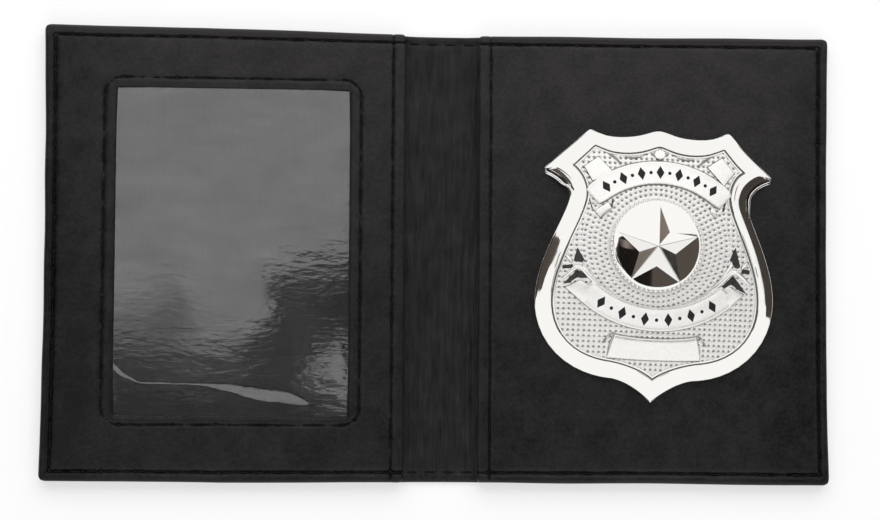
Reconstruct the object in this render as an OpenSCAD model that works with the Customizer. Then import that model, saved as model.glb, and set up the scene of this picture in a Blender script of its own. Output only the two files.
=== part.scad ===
// A two-fold badge and identity card wallet, lying open with its inside up.
// The cover, boards, lining and panels are flat layers, sewn round the rim.
// A clear window is sewn behind the left panel, and a domed metal shield is
// studded through the right panel. The wallet folds at both edges of its spine.
// X runs across the open wallet, Y up its height and Z out of the inside face.

/* [Wallet] */
// Width of the wallet when it lies open
open_w = 200; // [184:1:230]
// Height of the wallet
wallet_h = 115; // [108:1:135]
// Width of the spine strip between the two panels
spine_w = 18.3; // [17.5:0.1:24]
// Radius of the four outer corners
corner_r = 1.8; // [1.2:0.1:4]

/* [Layers] */
// Thickness of the cover leather
cover_t = 0.8; // [0.7:0.05:1.2]
// Thickness of the stiffener boards and of the cover edge turned in beside them
board_t = 0.9; // [0.6:0.05:1.4]
// Thickness of the lining
lining_t = 0.4; // [0.3:0.05:0.6]
// Depth of the pocket behind each panel, which is the thickness of the filler hem
pocket_gap = 1.0; // [0.9:0.05:1.5]
// Thickness of the window panel and the badge panel
panel_t = 0.9; // [0.7:0.05:1.3]
// Width of the edges turned in round the rim
turn_w = 7; // [5:0.25:9]
// Gap between a board and the turned edge around it
board_gap = 0.25; // [0.1:0.05:0.6]
// Distance from a board to the crease beside it
board_setback = 1.2; // [1:0.1:3]
// Gap that the panels and linings keep from the crease
crease_gap = 0.3; // [0.2:0.05:0.5]
// Size of the soft edge on the rim of each layer
soft_edge = 0.35; // [0.15:0.05:0.4]

/* [Window] */
// Distance from the left rim to the window opening
window_margin_rim = 17.7; // [15:0.1:20]
// Distance from the window opening to the spine side of its panel
window_margin_spine = 13.85; // [12:0.05:18]
// Distance from the upper rim to the window opening
window_margin_top = 15.95; // [14:0.05:20]
// Distance from the lower rim to the window opening
window_margin_bottom = 16.55; // [14:0.05:20]
// Radius of the corners of the window opening
window_r = 0.8; // [0.4:0.1:3]
// Thickness of the clear window film
film_t = 0.25; // [0.15:0.05:0.35]
// How far the film reaches past the opening behind the panel
film_lap = 5.5; // [4.5:0.25:6.5]

/* [Stitching] */
// Distance from the rim to the row of stitches round it
rim_seam = 2.6; // [2:0.1:3.5]
// Distance from the spine side of a panel to its hem stitches
hem_seam = 3.0; // [2:0.1:4]
// Distance from the window opening to the seam at its side edges
window_seam_side = 2.8; // [2:0.1:3.4]
// Distance from the window opening to the seam above it
window_seam_top = 2.5; // [1.8:0.1:3.4]
// Distance from the window opening to the seam below it
window_seam_bottom = 2.1; // [1.8:0.1:3.4]
// Radius of the window seam at its corners
window_seam_r = 4.4; // [3:0.1:6]
// Length taken by each stitch round the rim
rim_pitch = 4.2; // [3:0.1:6]
// Length taken by each hem stitch
hem_pitch = 4.3; // [3:0.1:6]
// Length taken by each stitch of the window seam
window_pitch = 3.45; // [2.8:0.05:5]
// Width of the thread
thread_w = 0.55; // [0.35:0.05:0.7]
// Thickness of the thread
thread_t = 0.4; // [0.3:0.05:0.5]
// Width of the groove that the stitches pull into the leather
groove_w = 1.1; // [0.8:0.05:1.4]
// Depth of the groove in the panels
groove_d = 0.25; // [0.1:0.05:0.4]

/* [Badge] */
// Width of the shield
badge_w = 61.2; // [54:0.2:64]
// Height of the shield
badge_h = 68.8; // [60:0.1:74]
// Distance of the shield's middle from the middle of its panel, towards the spine
badge_shift = 0.3; // [0:0.1:3]
// Height of the medallion's middle above the middle of the wallet
badge_rise = 2.6; // [0:0.1:6]
// Clockwise turn of the shield on its panel, in degrees
badge_turn = 1.8; // [0:0.1:4]
// Radius of the dome that the shield's face is part of
dome_r = 110; // [104:1:140]
// Distance of the dome's middle below the medallion's middle
dome_drop = 3; // [2:0.1:4]
// Height of the dome's crown above the panel
crown_h = 7; // [6.9:0.1:8]
// Thickness of the shield's plate
shield_t = 1.5; // [1.3:0.05:1.8]
// Thickness of the shield's side wall, which stands on the panel
wall_t = 1.4; // [1:0.05:2]
// Width of the shield's plain rim
rim_w = 4.2; // [3.4:0.1:4.6]
// Depth of the field below the rim
field_d = 0.6; // [0.3:0.05:0.8]
// Radius of the star medallion
medal_r = 11; // [10:0.1:11.5]
// Radius of the dome that the medallion's face is part of
medal_dome_r = 60; // [50:1:90]
// Height of the medallion's middle above the shield's crown
medal_rise = 0.9; // [0.8:0.05:1.6]
// Radius of the star's points
star_r = 10.5; // [8:0.1:10.5]
// Distance of the star's middle below the medallion's middle
star_drop = 0.2; // [0:0.1:0.4]
// Height of the star's middle above the medallion's face
star_rise = 1.3; // [0.6:0.05:1.6]
// Height of the star's edges above the medallion's face
star_edge = 0.2; // [0.1:0.05:0.4]
// Width of each ribbon
ribbon_w = 5.9; // [4.5:0.1:6.2]
// Radius of the middle of the upper ribbon
upper_ribbon_r = 24.6; // [22:0.1:26]
// Distance of the upper ribbon's centre below the star's middle
upper_ribbon_drop = 6.05; // [5.5:0.05:7]
// Radius of the middle of the lower ribbon
lower_ribbon_r = 27; // [25:0.1:28]
// Distance of the lower ribbon's centre above the star's middle
lower_ribbon_lift = 8.2; // [7.8:0.05:9]
// Height of an enamel lozenge on the ribbons
lozenge_h = 3.4; // [2.4:0.1:4]
// Width of an enamel lozenge
lozenge_w = 2.1; // [1.4:0.1:2.6]
// Diameter of an enamel dot between the lozenges
dot_d = 0.9; // [0.5:0.05:1.2]
// Depth of the enamel
enamel_d = 0.2; // [0.1:0.05:0.4]
// Length of the name plate's lower edge
plate_w = 24; // [20:0.5:26]
// Height of the name plate at its ends
plate_h = 4.9; // [3.6:0.1:5]

/* [Badge fixing] */
// Diameter of the studs
stud_d = 2.2; // [1.6:0.1:2.8]
// Distance between the two studs
stud_spacing = 32; // [26:0.5:36]
// Diameter of a stud's solder foot
stud_foot_d = 5; // [4:0.1:6]
// Thickness of a stud's solder foot
stud_foot_t = 1; // [0.6:0.1:1.5]
// Gap round a stud in the panel's hole
stud_gap = 0.15; // [0.1:0.05:0.3]
// Outer diameter of the push nuts
nut_d = 9; // [7:0.1:11]
// Thickness of the push nuts
nut_t = 0.35; // [0.25:0.05:0.4]
// Length of stud that stands past a push nut
stud_end = 0.3; // [0.1:0.05:0.4]

/* [Hidden] */
$fn = 64;

// How far a cutting tool runs past what it cuts
overrun = 1;
// Share of each stitch's length over which its thread shows
stitch_share = 0.76;
// Share of a stitch's length that each of its tapered ends takes
taper_share = 0.22;
// Share of a stitch's width at the very ends
stitch_tip_share = 0.45;
// Gap that the thread on the back keeps from the ground
back_thread_gap = 0.05;
// Steps in the quarter round of a soft edge
soft_steps = 3;
// Gap between a push nut and the stud through it
nut_gap = 0.02;
// Width of the four slits between a push nut's teeth
nut_slit_w = 0.5;
// Share of a push nut's radius that its slits reach out to
nut_slit_share = 0.62;

half_w = open_w / 2;
half_h = wallet_h / 2;
crease_x = spine_w / 2;
inner_x = crease_x + crease_gap;

// Heights of the layers, from the ground up
turn_z = cover_t;
lining_z = turn_z + board_t;
pocket_z = lining_z + lining_t;
panel_z = pocket_z + pocket_gap;
top_z = panel_z + panel_t;
spine_top_z = cover_t + lining_t;
back_groove_d = thread_t + back_thread_gap;

// Size and place of the window and its seam
window_w = half_w - inner_x - window_margin_rim - window_margin_spine;
window_h = wallet_h - window_margin_top - window_margin_bottom;
window_x = -half_w + window_margin_rim + window_w / 2;
window_rise = (window_margin_bottom - window_margin_top) / 2;
seam_w = window_w + 2 * window_seam_side;
seam_h = window_h + window_seam_top + window_seam_bottom;
seam_y = window_rise + (window_seam_top - window_seam_bottom) / 2;

// The shield's own sizes
badge_x = (inner_x + half_w) / 2 - badge_shift;
field_r = dome_r - field_d;
inner_r = dome_r - shield_t;
medal_top_z = crown_h + medal_rise;
stud_reach = stud_spacing / 2 + dome_drop + stud_foot_d / 2;
stud_foot_z = crown_h - dome_r + sqrt(inner_r * inner_r - stud_reach * stud_reach) - stud_foot_t;

// Half the shield's outline, from the top peak round the right side to the point.
// Each row is a control point as shares of the shield's width and height,
// then how far it moves for each unit that the outline is set in.
top_shares = [[0, 0.425, 0, -1], [0.065, 0.425, -0.36, -1],
    [0.13, 0.355, 0, -1], [0.286, 0.429, -0.27, -1]];
wing_shares = [[0.476, 0.274, -1.69, 0.21], [0.418, 0.257, -1.24, 0.17],
    [0.37, 0.222, -1, 0.17], [0.37, 0.176, -1, 0]];
side_shares = [[0.37, 0.176, -1, 0], [0.37, 0.116, -1, -0.15],
    [0.5, -0.051, -1, -0.15], [0.5, -0.201, -1, 0]];
lobe_shares = [[0.5, -0.201, -1, 0], [0.5, -0.371, -1, 0.48],
    [0.351, -0.483, -0.4, 1.05], [0.172, -0.492, 0.12, 1]];
point_shares = [[0.172, -0.492, 0.12, 1], [0.115, -0.499, 0.24, 1],
    [0.052, -0.532, 0, 1.24], [0, -0.575, 0, 1.35]];
curve_steps = 8;

// Angles that the ribbons and their marks reach to each side of the middle
upper_ribbon_angle = 44;
lower_ribbon_angle = 50;
upper_mark_count = 7;
upper_mark_angle = 11.2;
lower_mark_count = 6;
lower_mark_angle = 12.6;
// Middle of the name plate's lower edge, as a share of the shield's height
plate_y_share = -0.4;
// How far the plate's upper edge dips in its middle
plate_dip = 1;
// How much the plate is narrower at its upper edge
plate_taper = 2;
star_point_count = 5;
// Radius of the star's notches, as a share of its points' radius
notch_share = 0.42;
// How far the star's body reaches down past the medallion's rim surface
star_root = 1;

function cubic(p, t) = pow(1 - t, 3) * p[0] + 3 * pow(1 - t, 2) * t * p[1]
    + 3 * (1 - t) * t * t * p[2] + pow(t, 3) * p[3];
function set_in(shares, inset) = [for (s = shares)
    [s[0] * badge_w + s[2] * inset, s[1] * badge_h + s[3] * inset]];
function curve(shares, inset) = let (p = set_in(shares, inset))
    [for (i = [0 : curve_steps - 1]) cubic(p, i / curve_steps)];
function half_outline(inset) = concat(curve(top_shares, inset),
    [set_in(top_shares, inset)[3]], curve(wing_shares, inset), curve(side_shares, inset),
    curve(lobe_shares, inset), curve(point_shares, inset), [set_in(point_shares, inset)[3]]);
function mirrored(points) = [for (i = [len(points) - 2 : -1 : 1]) [-points[i][0], points[i][1]]];

// The right half of a layer's outline, from x_in to the rim, with round outer corners
module half_outline_of_layer(x_in, set_back = 0) {
    r = max(corner_r - set_back, soft_edge);
    x_out = half_w - set_back;
    y_out = half_h - set_back;
    translate([x_in, -y_out]) square([x_out - r - x_in, 2 * y_out]);
    translate([x_in, -y_out + r]) square([x_out - x_in, 2 * (y_out - r)]);
    for (side = [-1, 1]) translate([x_out - r, side * (y_out - r)]) circle(r);
}

// The soft edge of a layer's cross-section, at a distance from the middle
function soft_side(reach, low, high, at_low, at_high) = concat(
    at_low ? [for (i = [0 : soft_steps]) let (a = 90 * i / soft_steps)
        [reach - soft_edge + soft_edge * sin(a), low + soft_edge - soft_edge * cos(a)]]
        : [[reach, low]],
    at_high ? [for (i = [0 : soft_steps]) let (a = 90 * i / soft_steps)
        [reach - soft_edge + soft_edge * cos(a), high - soft_edge + soft_edge * sin(a)]]
        : [[reach, high]]);

// A whole cross-section with that edge at both ends
module soft_section(reach, low, high, at_low, at_high) {
    side = soft_side(reach, low, high, at_low, at_high);
    polygon(concat(side, [for (i = [len(side) - 1 : -1 : 0]) [-side[i][0], side[i][1]]]));
}

// A flat layer of the right half with soft edges round the rim
module layer(x_in, low, high, at_low = true, at_high = true) {
    intersection() {
        translate([0, 0, low]) linear_extrude(high - low) half_outline_of_layer(x_in);
        translate([0, half_h + overrun, 0]) rotate([90, 0, 0])
            linear_extrude(wallet_h + 2 * overrun)
                soft_section(half_w, low, high, at_low, at_high);
        rotate([90, 0, 90]) linear_extrude(half_w + overrun)
            soft_section(half_h, low, high, at_low, at_high);
    }
}

// The groove that the rim's stitches pull into the right half of a face
module rim_groove(x_in, z, depth) {
    translate([0, 0, z]) linear_extrude(depth) difference() {
        half_outline_of_layer(x_in, rim_seam - groove_w / 2);
        half_outline_of_layer(x_in - overrun, rim_seam + groove_w / 2);
    }
}

// A straight groove along the hem stitches beside the spine
module hem_groove() {
    translate([inner_x + hem_seam - groove_w / 2, -half_h - overrun, top_z - groove_d])
        cube([groove_w, wallet_h + 2 * overrun, groove_d + overrun]);
}

module rounded_rectangle(w, h, r) {
    square([w - 2 * r, h], center = true);
    square([w, h - 2 * r], center = true);
    for (x = [-1, 1], y = [-1, 1]) translate([x * (w / 2 - r), y * (h / 2 - r)]) circle(r);
}

// One stitch along X, with ends that taper into the needle holes
module stitch(pitch) {
    l = pitch * stitch_share / 2;
    w = thread_w / 2;
    body = l * (1 - 2 * taper_share);
    tip = w * stitch_tip_share;
    linear_extrude(thread_t) polygon([[-l, -tip], [-body, -w], [body, -w], [l, -tip],
        [l, tip], [body, w], [-body, w], [-l, tip]]);
}

// Stitches along X, spread evenly over a length that is centred on the origin
module stitch_row(span, pitch) {
    count = max(1, round(span / pitch));
    for (i = [0 : count - 1])
        translate([(i + 0.5) * span / count - span / 2, 0, 0]) stitch(span / count);
}

// Stitches round the three rim sides of the right half
module rim_stitches(z) {
    seam_x = half_w - rim_seam;
    seam_y = half_h - rim_seam;
    for (side = [-1, 1]) translate([(crease_x + seam_x) / 2, side * seam_y, z])
        stitch_row(seam_x - crease_x - groove_w / 2, rim_pitch);
    translate([seam_x, 0, z]) rotate(90) stitch_row(2 * seam_y - groove_w, rim_pitch);
}

module spine_stitches(z) {
    for (side = [-1, 1]) translate([0, side * (half_h - rim_seam), z])
        stitch_row(spine_w, rim_pitch);
}

module hem_stitches() {
    translate([inner_x + hem_seam, 0, top_z - groove_d]) rotate(90)
        stitch_row(wallet_h - 2 * rim_seam - groove_w, hem_pitch);
}

// The cover of the right half: its back and the edge turned in round the board
module cover_half() {
    difference() {
        layer(crease_x, 0, lining_z);
        translate([crease_x - overrun, -half_h + turn_w, turn_z])
            cube([half_w - turn_w - crease_x + overrun, wallet_h - 2 * turn_w, board_t + overrun]);
        translate([crease_x - overrun, -half_h - overrun, turn_z])
            cube([board_setback + overrun, wallet_h + 2 * overrun, board_t + overrun]);
        rim_groove(crease_x - overrun, -overrun, back_groove_d + overrun);
    }
}

module board_half() {
    x_in = crease_x + board_setback;
    x_out = half_w - turn_w - board_gap;
    y_out = half_h - turn_w - board_gap;
    translate([x_in, -y_out, turn_z]) cube([x_out - x_in, 2 * y_out, board_t]);
}

// The lining of the right half, which the rim seam holds
module lining_half() {
    x_out = half_w - soft_edge;
    y_out = half_h - soft_edge;
    translate([inner_x, -y_out, lining_z]) cube([x_out - inner_x, 2 * y_out, lining_t]);
}

// The edge of the panel turned under on three sides, which keeps the pocket open
module hem_half() {
    difference() {
        layer(inner_x, pocket_z, panel_z, at_high = false);
        translate([crease_x - overrun, -half_h + turn_w, pocket_z - overrun])
            cube([half_w - turn_w - crease_x + overrun, wallet_h - 2 * turn_w,
                pocket_gap + 2 * overrun]);
    }
}

// The face layer of the right half, with its grooves
module panel_half() {
    difference() {
        layer(inner_x, panel_z, top_z, at_low = false);
        rim_groove(inner_x - overrun, top_z - groove_d, groove_d + overrun);
        hem_groove();
    }
}

module cover_left() {
    color("#232325") mirror([1, 0, 0]) cover_half();
}

module cover_right() {
    color("#232325") cover_half();
}

module cover_spine() {
    color("#232325") difference() {
        translate([-crease_x, -half_h, 0]) cube([spine_w, wallet_h, cover_t]);
        for (side = [-1, 1])
            translate([-crease_x - overrun, side * (half_h - rim_seam) - groove_w / 2, -overrun])
                cube([spine_w + 2 * overrun, groove_w, back_groove_d + overrun]);
    }
}

module board_left() {
    color("#8a7a60") mirror([1, 0, 0]) board_half();
}

module board_right() {
    color("#8a7a60") board_half();
}

module lining_left() {
    color("#1c1c1e") mirror([1, 0, 0]) lining_half();
}

module lining_right() {
    color("#1c1c1e") lining_half();
}

// The strip of lining that shows between the panels
module lining_spine() {
    color("#262627") difference() {
        translate([-crease_x, -half_h + soft_edge, cover_t])
            cube([spine_w, wallet_h - 2 * soft_edge, lining_t]);
        for (side = [-1, 1])
            translate([-crease_x - overrun, side * (half_h - rim_seam) - groove_w / 2,
                spine_top_z - groove_d])
                cube([spine_w + 2 * overrun, groove_w, groove_d + overrun]);
    }
}

module window_hem() {
    color("#242426") mirror([1, 0, 0]) hem_half();
}

module badge_hem() {
    color("#242426") hem_half();
}

module window_film() {
    color("#9a9c9e80") translate([window_x, window_rise, panel_z - film_t])
        linear_extrude(film_t)
            rounded_rectangle(window_w + 2 * film_lap, window_h + 2 * film_lap, window_r);
}

module window_panel() {
    color("#29292b") difference() {
        mirror([1, 0, 0]) panel_half();
        translate([window_x, window_rise, panel_z - overrun])
            linear_extrude(panel_t + 2 * overrun) rounded_rectangle(window_w, window_h, window_r);
        translate([window_x, seam_y, top_z - groove_d]) linear_extrude(groove_d + overrun)
            difference() {
                rounded_rectangle(seam_w + groove_w, seam_h + groove_w,
                    window_seam_r + groove_w / 2);
                rounded_rectangle(seam_w - groove_w, seam_h - groove_w,
                    window_seam_r - groove_w / 2);
            }
    }
}

// Places what it is given at the star's middle, on the badge panel
module on_panel() {
    translate([badge_x, badge_rise, top_z]) rotate(-badge_turn) children();
}

module stud_places() {
    for (side = [-1, 1]) translate([0, side * stud_spacing / 2, 0]) children();
}

module badge_panel() {
    color("#29292b") difference() {
        panel_half();
        on_panel() stud_places() translate([0, 0, -panel_t - overrun])
            cylinder(h = panel_t + 2 * overrun, d = stud_d + 2 * stud_gap);
    }
}

// A ball whose top is the shield's dome, or a layer of it at a smaller radius
module dome(r) {
    translate([0, -dome_drop, crown_h - dome_r]) sphere(r, $fn = 180);
}

// A ball whose top is the medallion's face
module medal_dome() {
    translate([0, 0, medal_top_z - medal_dome_r]) sphere(medal_dome_r, $fn = 180);
}

module shield_outline(inset) {
    points = half_outline(inset);
    polygon(concat(points, mirrored(points)));
}

module ring_sector(r, w, angle) {
    reach = (r + w) / cos(angle);
    intersection() {
        difference() {
            circle(r + w / 2);
            circle(r - w / 2);
        }
        polygon([[0, 0], [-reach * sin(angle), reach * cos(angle)],
            [0, reach / cos(angle)], [reach * sin(angle), reach * cos(angle)]]);
    }
}

module upper_ribbon() {
    translate([0, -upper_ribbon_drop]) ring_sector(upper_ribbon_r, ribbon_w, upper_ribbon_angle);
}

module lower_ribbon() {
    translate([0, lower_ribbon_lift]) rotate(180)
        ring_sector(lower_ribbon_r, ribbon_w, lower_ribbon_angle);
}

module name_plate() {
    low = plate_y_share * badge_h;
    top = plate_w / 2 - plate_taper / 2;
    polygon([[-plate_w / 2, low], [plate_w / 2, low], [top, low + plate_h],
        [top / 2, low + plate_h - plate_dip * 0.75], [0, low + plate_h - plate_dip],
        [-top / 2, low + plate_h - plate_dip * 0.75], [-top, low + plate_h]]);
}

module lozenge() {
    polygon([[0, -lozenge_h / 2], [lozenge_w / 2, 0], [0, lozenge_h / 2], [-lozenge_w / 2, 0]]);
}

// Lozenges with dots between them, along a ribbon's middle line
module ribbon_marks(r, count, angle) {
    for (i = [0 : count - 1]) rotate((i - (count - 1) / 2) * angle) translate([0, r]) lozenge();
    for (i = [0 : count - 2]) rotate((i - (count - 2) / 2) * angle) translate([0, r]) circle(d = dot_d);
}

module enamel_marks() {
    translate([0, -upper_ribbon_drop]) ribbon_marks(upper_ribbon_r, upper_mark_count, upper_mark_angle);
    translate([0, lower_ribbon_lift]) rotate(180)
        ribbon_marks(lower_ribbon_r, lower_mark_count, lower_mark_angle);
}

// The sunk ground of the shield: all inside the rim but the ribbons and the plate
module sunk_ground() {
    difference() {
        shield_outline(rim_w);
        upper_ribbon();
        lower_ribbon();
        name_plate();
    }
}

module shield() {
    color("#d9dadb") on_panel() difference() {
        intersection() {
            linear_extrude(crown_h + overrun) shield_outline(0);
            dome(dome_r);
        }
        intersection() {
            translate([0, 0, -overrun]) linear_extrude(crown_h + overrun) shield_outline(wall_t);
            dome(inner_r);
        }
        difference() {
            linear_extrude(crown_h + overrun) sunk_ground();
            dome(field_r);
        }
        difference() {
            linear_extrude(crown_h + overrun) enamel_marks();
            dome(dome_r - enamel_d);
        }
    }
}

module ribbon_enamel() {
    color("#141414") on_panel() difference() {
        intersection() {
            linear_extrude(crown_h + overrun) enamel_marks();
            dome(dome_r);
        }
        dome(dome_r - enamel_d);
    }
}

// A star with raised ridges and sunk valleys, whose edges follow the medallion's dome
module star_body() {
    edge = 2 * star_point_count;
    turns = [for (i = [0 : edge - 1]) 90 + 180 * i / star_point_count];
    radii = [for (i = [0 : edge - 1]) i % 2 == 0 ? star_r : star_r * notch_share];
    at = [for (i = [0 : edge - 1]) [radii[i] * cos(turns[i]), radii[i] * sin(turns[i]) - star_drop]];
    upper = [for (p = at) [p[0], p[1], medal_top_z - medal_dome_r + star_edge
        + sqrt(medal_dome_r * medal_dome_r - p[0] * p[0] - p[1] * p[1])]];
    lower = [for (p = at) [p[0], p[1], medal_top_z - medal_rise - star_root]];
    polyhedron(points = concat(lower, upper, [[0, -star_drop, medal_top_z + star_rise]]),
        faces = concat([[for (i = [0 : edge - 1]) i]],
            [for (i = [0 : edge - 1]) let (j = (i + 1) % edge) [i, edge + i, edge + j, j]],
            [for (i = [0 : edge - 1]) [edge + i, 2 * edge, edge + (i + 1) % edge]]));
}

module star_medallion() {
    color("#e4e4e4") on_panel() {
        difference() {
            intersection() {
                cylinder(h = medal_top_z + overrun, r = medal_r);
                medal_dome();
            }
            dome(field_r);
        }
        difference() {
            star_body();
            medal_dome();
        }
    }
}

module badge_studs() {
    shank = panel_t + nut_t + stud_end;
    color("#b9b9b4") on_panel() stud_places() {
        translate([0, 0, -shank]) cylinder(h = shank + stud_foot_z, d = stud_d);
    }
    color("#b9b9b4") on_panel() intersection() {
        stud_places() translate([0, 0, stud_foot_z]) cylinder(h = crown_h, d = stud_foot_d);
        dome(inner_r);
    }
}

module push_nuts() {
    slit = nut_d * nut_slit_share;
    color("#8f9194") on_panel() stud_places() translate([0, 0, -panel_t - nut_t])
        difference() {
            cylinder(h = nut_t, d = nut_d);
            translate([0, 0, -overrun]) cylinder(h = nut_t + 2 * overrun, d = stud_d + 2 * nut_gap);
            for (turn = [45, 135]) rotate(turn)
                translate([-slit / 2, -nut_slit_w / 2, -overrun])
                    cube([slit, nut_slit_w, nut_t + 2 * overrun]);
        }
}

module rim_stitches_left() {
    color("#101010") mirror([1, 0, 0]) rim_stitches(top_z - groove_d);
}

module rim_stitches_right() {
    color("#101010") rim_stitches(top_z - groove_d);
}

module rim_stitches_spine() {
    color("#101010") spine_stitches(spine_top_z - groove_d);
}

module window_stitches() {
    corner_turns = [22.5, 67.5];
    arc = window_seam_r * PI / 4;
    color("#101010") translate([window_x, seam_y, top_z - groove_d]) {
        for (side = [-1, 1]) {
            translate([0, side * seam_h / 2, 0])
                stitch_row(seam_w - 2 * window_seam_r, window_pitch);
            translate([side * seam_w / 2, 0, 0]) rotate(90)
                stitch_row(seam_h - 2 * window_seam_r, window_pitch);
        }
        for (x = [0, 1], y = [0, 1]) mirror([x, 0]) mirror([0, y])
            translate([seam_w / 2 - window_seam_r, seam_h / 2 - window_seam_r])
                for (turn = corner_turns) rotate(turn) translate([window_seam_r, 0])
                    rotate(90) stitch(arc);
    }
}

module window_hem_stitches() {
    color("#101010") mirror([1, 0, 0]) hem_stitches();
}

module badge_hem_stitches() {
    color("#101010") hem_stitches();
}

module back_stitches_left() {
    color("#101010") mirror([1, 0, 0]) rim_stitches(back_thread_gap);
}

module back_stitches_right() {
    color("#101010") rim_stitches(back_thread_gap);
}

module back_stitches_spine() {
    color("#101010") spine_stitches(back_thread_gap);
}

cover_left();
cover_spine();
cover_right();
board_left();
board_right();
lining_left();
lining_spine();
lining_right();
window_hem();
badge_hem();
window_film();
window_panel();
badge_panel();
shield();
star_medallion();
ribbon_enamel();
badge_studs();
push_nuts();
rim_stitches_left();
rim_stitches_spine();
rim_stitches_right();
window_stitches();
window_hem_stitches();
badge_hem_stitches();
back_stitches_left();
back_stitches_spine();
back_stitches_right();
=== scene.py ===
"""Looks of the badge and identity card wallet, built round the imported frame.

Sizes inside the builders are millimetres in the frame's own axes: X across the
open wallet, Y up its height and Z out of the inside face. add_piece turns them
into metres.
"""
import math

import bmesh
import bpy
import numpy as np
from bpy.props import FloatProperty, FloatVectorProperty, PointerProperty
from bpy.types import Operator, Panel, PropertyGroup
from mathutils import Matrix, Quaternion, Vector


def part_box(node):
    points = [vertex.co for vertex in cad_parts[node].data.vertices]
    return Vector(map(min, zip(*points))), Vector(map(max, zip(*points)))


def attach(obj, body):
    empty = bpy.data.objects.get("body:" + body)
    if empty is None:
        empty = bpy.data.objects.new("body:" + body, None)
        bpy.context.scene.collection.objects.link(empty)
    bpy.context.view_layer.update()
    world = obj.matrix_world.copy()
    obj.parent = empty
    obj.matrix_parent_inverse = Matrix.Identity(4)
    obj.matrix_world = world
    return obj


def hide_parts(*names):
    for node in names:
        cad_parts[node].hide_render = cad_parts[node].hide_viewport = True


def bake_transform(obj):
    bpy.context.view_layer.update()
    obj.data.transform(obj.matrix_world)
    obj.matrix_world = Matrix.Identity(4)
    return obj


bl_info = {
    "name": "Badge wallet",
    "version": (1, 0, 0),
    "blender": (4, 5, 0),
    "location": "View3D > Sidebar > Badge wallet",
    "description": "Builds the leather, film, thread and metal of a badge wallet",
    "category": "Add Mesh",
}

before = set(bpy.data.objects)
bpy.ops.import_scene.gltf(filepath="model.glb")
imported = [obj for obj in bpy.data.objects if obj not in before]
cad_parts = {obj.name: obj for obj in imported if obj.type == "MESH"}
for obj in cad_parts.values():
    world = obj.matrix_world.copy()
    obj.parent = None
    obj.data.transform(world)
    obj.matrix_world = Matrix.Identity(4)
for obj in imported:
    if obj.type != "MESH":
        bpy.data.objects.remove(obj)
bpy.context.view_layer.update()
MM = 0.001


def box_mm(node):
    """Low and high corner of a node's box, in millimetres."""
    low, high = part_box(node)
    return np.array(low) / MM, np.array(high) / MM


PANEL_LOW, PANEL_HIGH = box_mm("badge_panel")
LINING_LOW, LINING_HIGH = box_mm("lining_right")
SPINE_LOW, SPINE_HIGH = box_mm("lining_spine")
FILM_LOW, FILM_HIGH = box_mm("window_film")
BOARD_X = box_mm("board_right")[0][0]

HALF_W, HALF_H = PANEL_HIGH[0], PANEL_HIGH[1]
CREASE_X = SPINE_HIGH[0]
INNER_X = PANEL_LOW[0]
TOP_Z = PANEL_HIGH[2]
PANEL_Z = PANEL_LOW[2]
POCKET_Z = LINING_HIGH[2]
LINING_Z = LINING_LOW[2]
SPINE_Z = SPINE_HIGH[2]
COVER_Z = SPINE_LOW[2]

# Seams and window, the same as in the part
CORNER_R = 1.8
TURN_W = 7.0
RIM_SEAM = 2.6
HEM_SEAM = 3.0
RIM_PITCH = 4.2
HEM_PITCH = 4.3
WINDOW_PITCH = 3.45
GROOVE_W = 1.1
WINDOW_MIDDLE = (-52.8, 0.3)
WINDOW_SIZE = (59.0, 82.5)
WINDOW_R = 0.8
WINDOW_SEAM_MIDDLE = (-52.8, 0.5)
WINDOW_SEAM_SIZE = (64.6, 87.1)
WINDOW_SEAM_R = 4.4

WINDOW_MARGIN = 17.7

# Not as in the part: round corners of the panels beside the spine, the share of each
# stitch that its thread fills (0.76 there), and how far the leather is drawn in at the
# window's left side, with the reach of that
HEM_R = 1.0
STITCH_SHARE = 0.8
WINDOW_PULL, PULL_REACH = 0.45, 4.0

# The badge's place and sizes, the same as in the part
BADGE_X, BADGE_Y, BADGE_TURN = 54.425, 2.6, 1.8
BADGE_W, BADGE_H = 61.2, 68.8
DOME_R, DOME_DROP, CROWN = 110.0, 3.0, 7.0
FIELD_DEPTH, MEDAL_RISE, STAR_RISE = 0.6, 0.9, 1.3
RIBBON_W = 5.9
UPPER_R, UPPER_DROP, UPPER_REACH = 24.6, 6.05, 44.0
LOWER_R, LOWER_LIFT = 27.0, 8.2
LOZENGE_W, LOZENGE_H, DOT_D = 2.1, 3.4, 0.9
PLATE_W, PLATE_DIP = 24.0, 1.0

# Badge sizes that differ a little from the part's, which has a medallion of radius 11 on
# a dome of 60, a star of 10.5 with edges of 0.2 and notches at 0.42, a lower ribbon that
# reaches 50 degrees, and a plate 4.9 high at -27.52 that tapers by 2
MEDAL_R, MEDAL_DOME_R, STAR_R, STAR_EDGE, NOTCH = 11.3, 80.0, 10.7, 0.1, 0.45
LOWER_REACH, PLATE_H, PLATE_LOW, PLATE_TAPER = 43.0, 6.2, -28.75, 3.0
# The part has its medallion at 0, 0 with the star and its apex at 0, -0.2, and no turn
MEDAL_X, MEDAL_Y = -0.65, -0.05
STAR_X, STAR_Y, STAR_TURN = -0.6, -0.55, 1.4
APEX_X, APEX_Y = -0.64, -0.3
# In this file alone: the roundness of the star's ridges and the lower ribbon's lean
RIDGE_R, LOWER_LEAN = 0.13, 0.24

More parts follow.
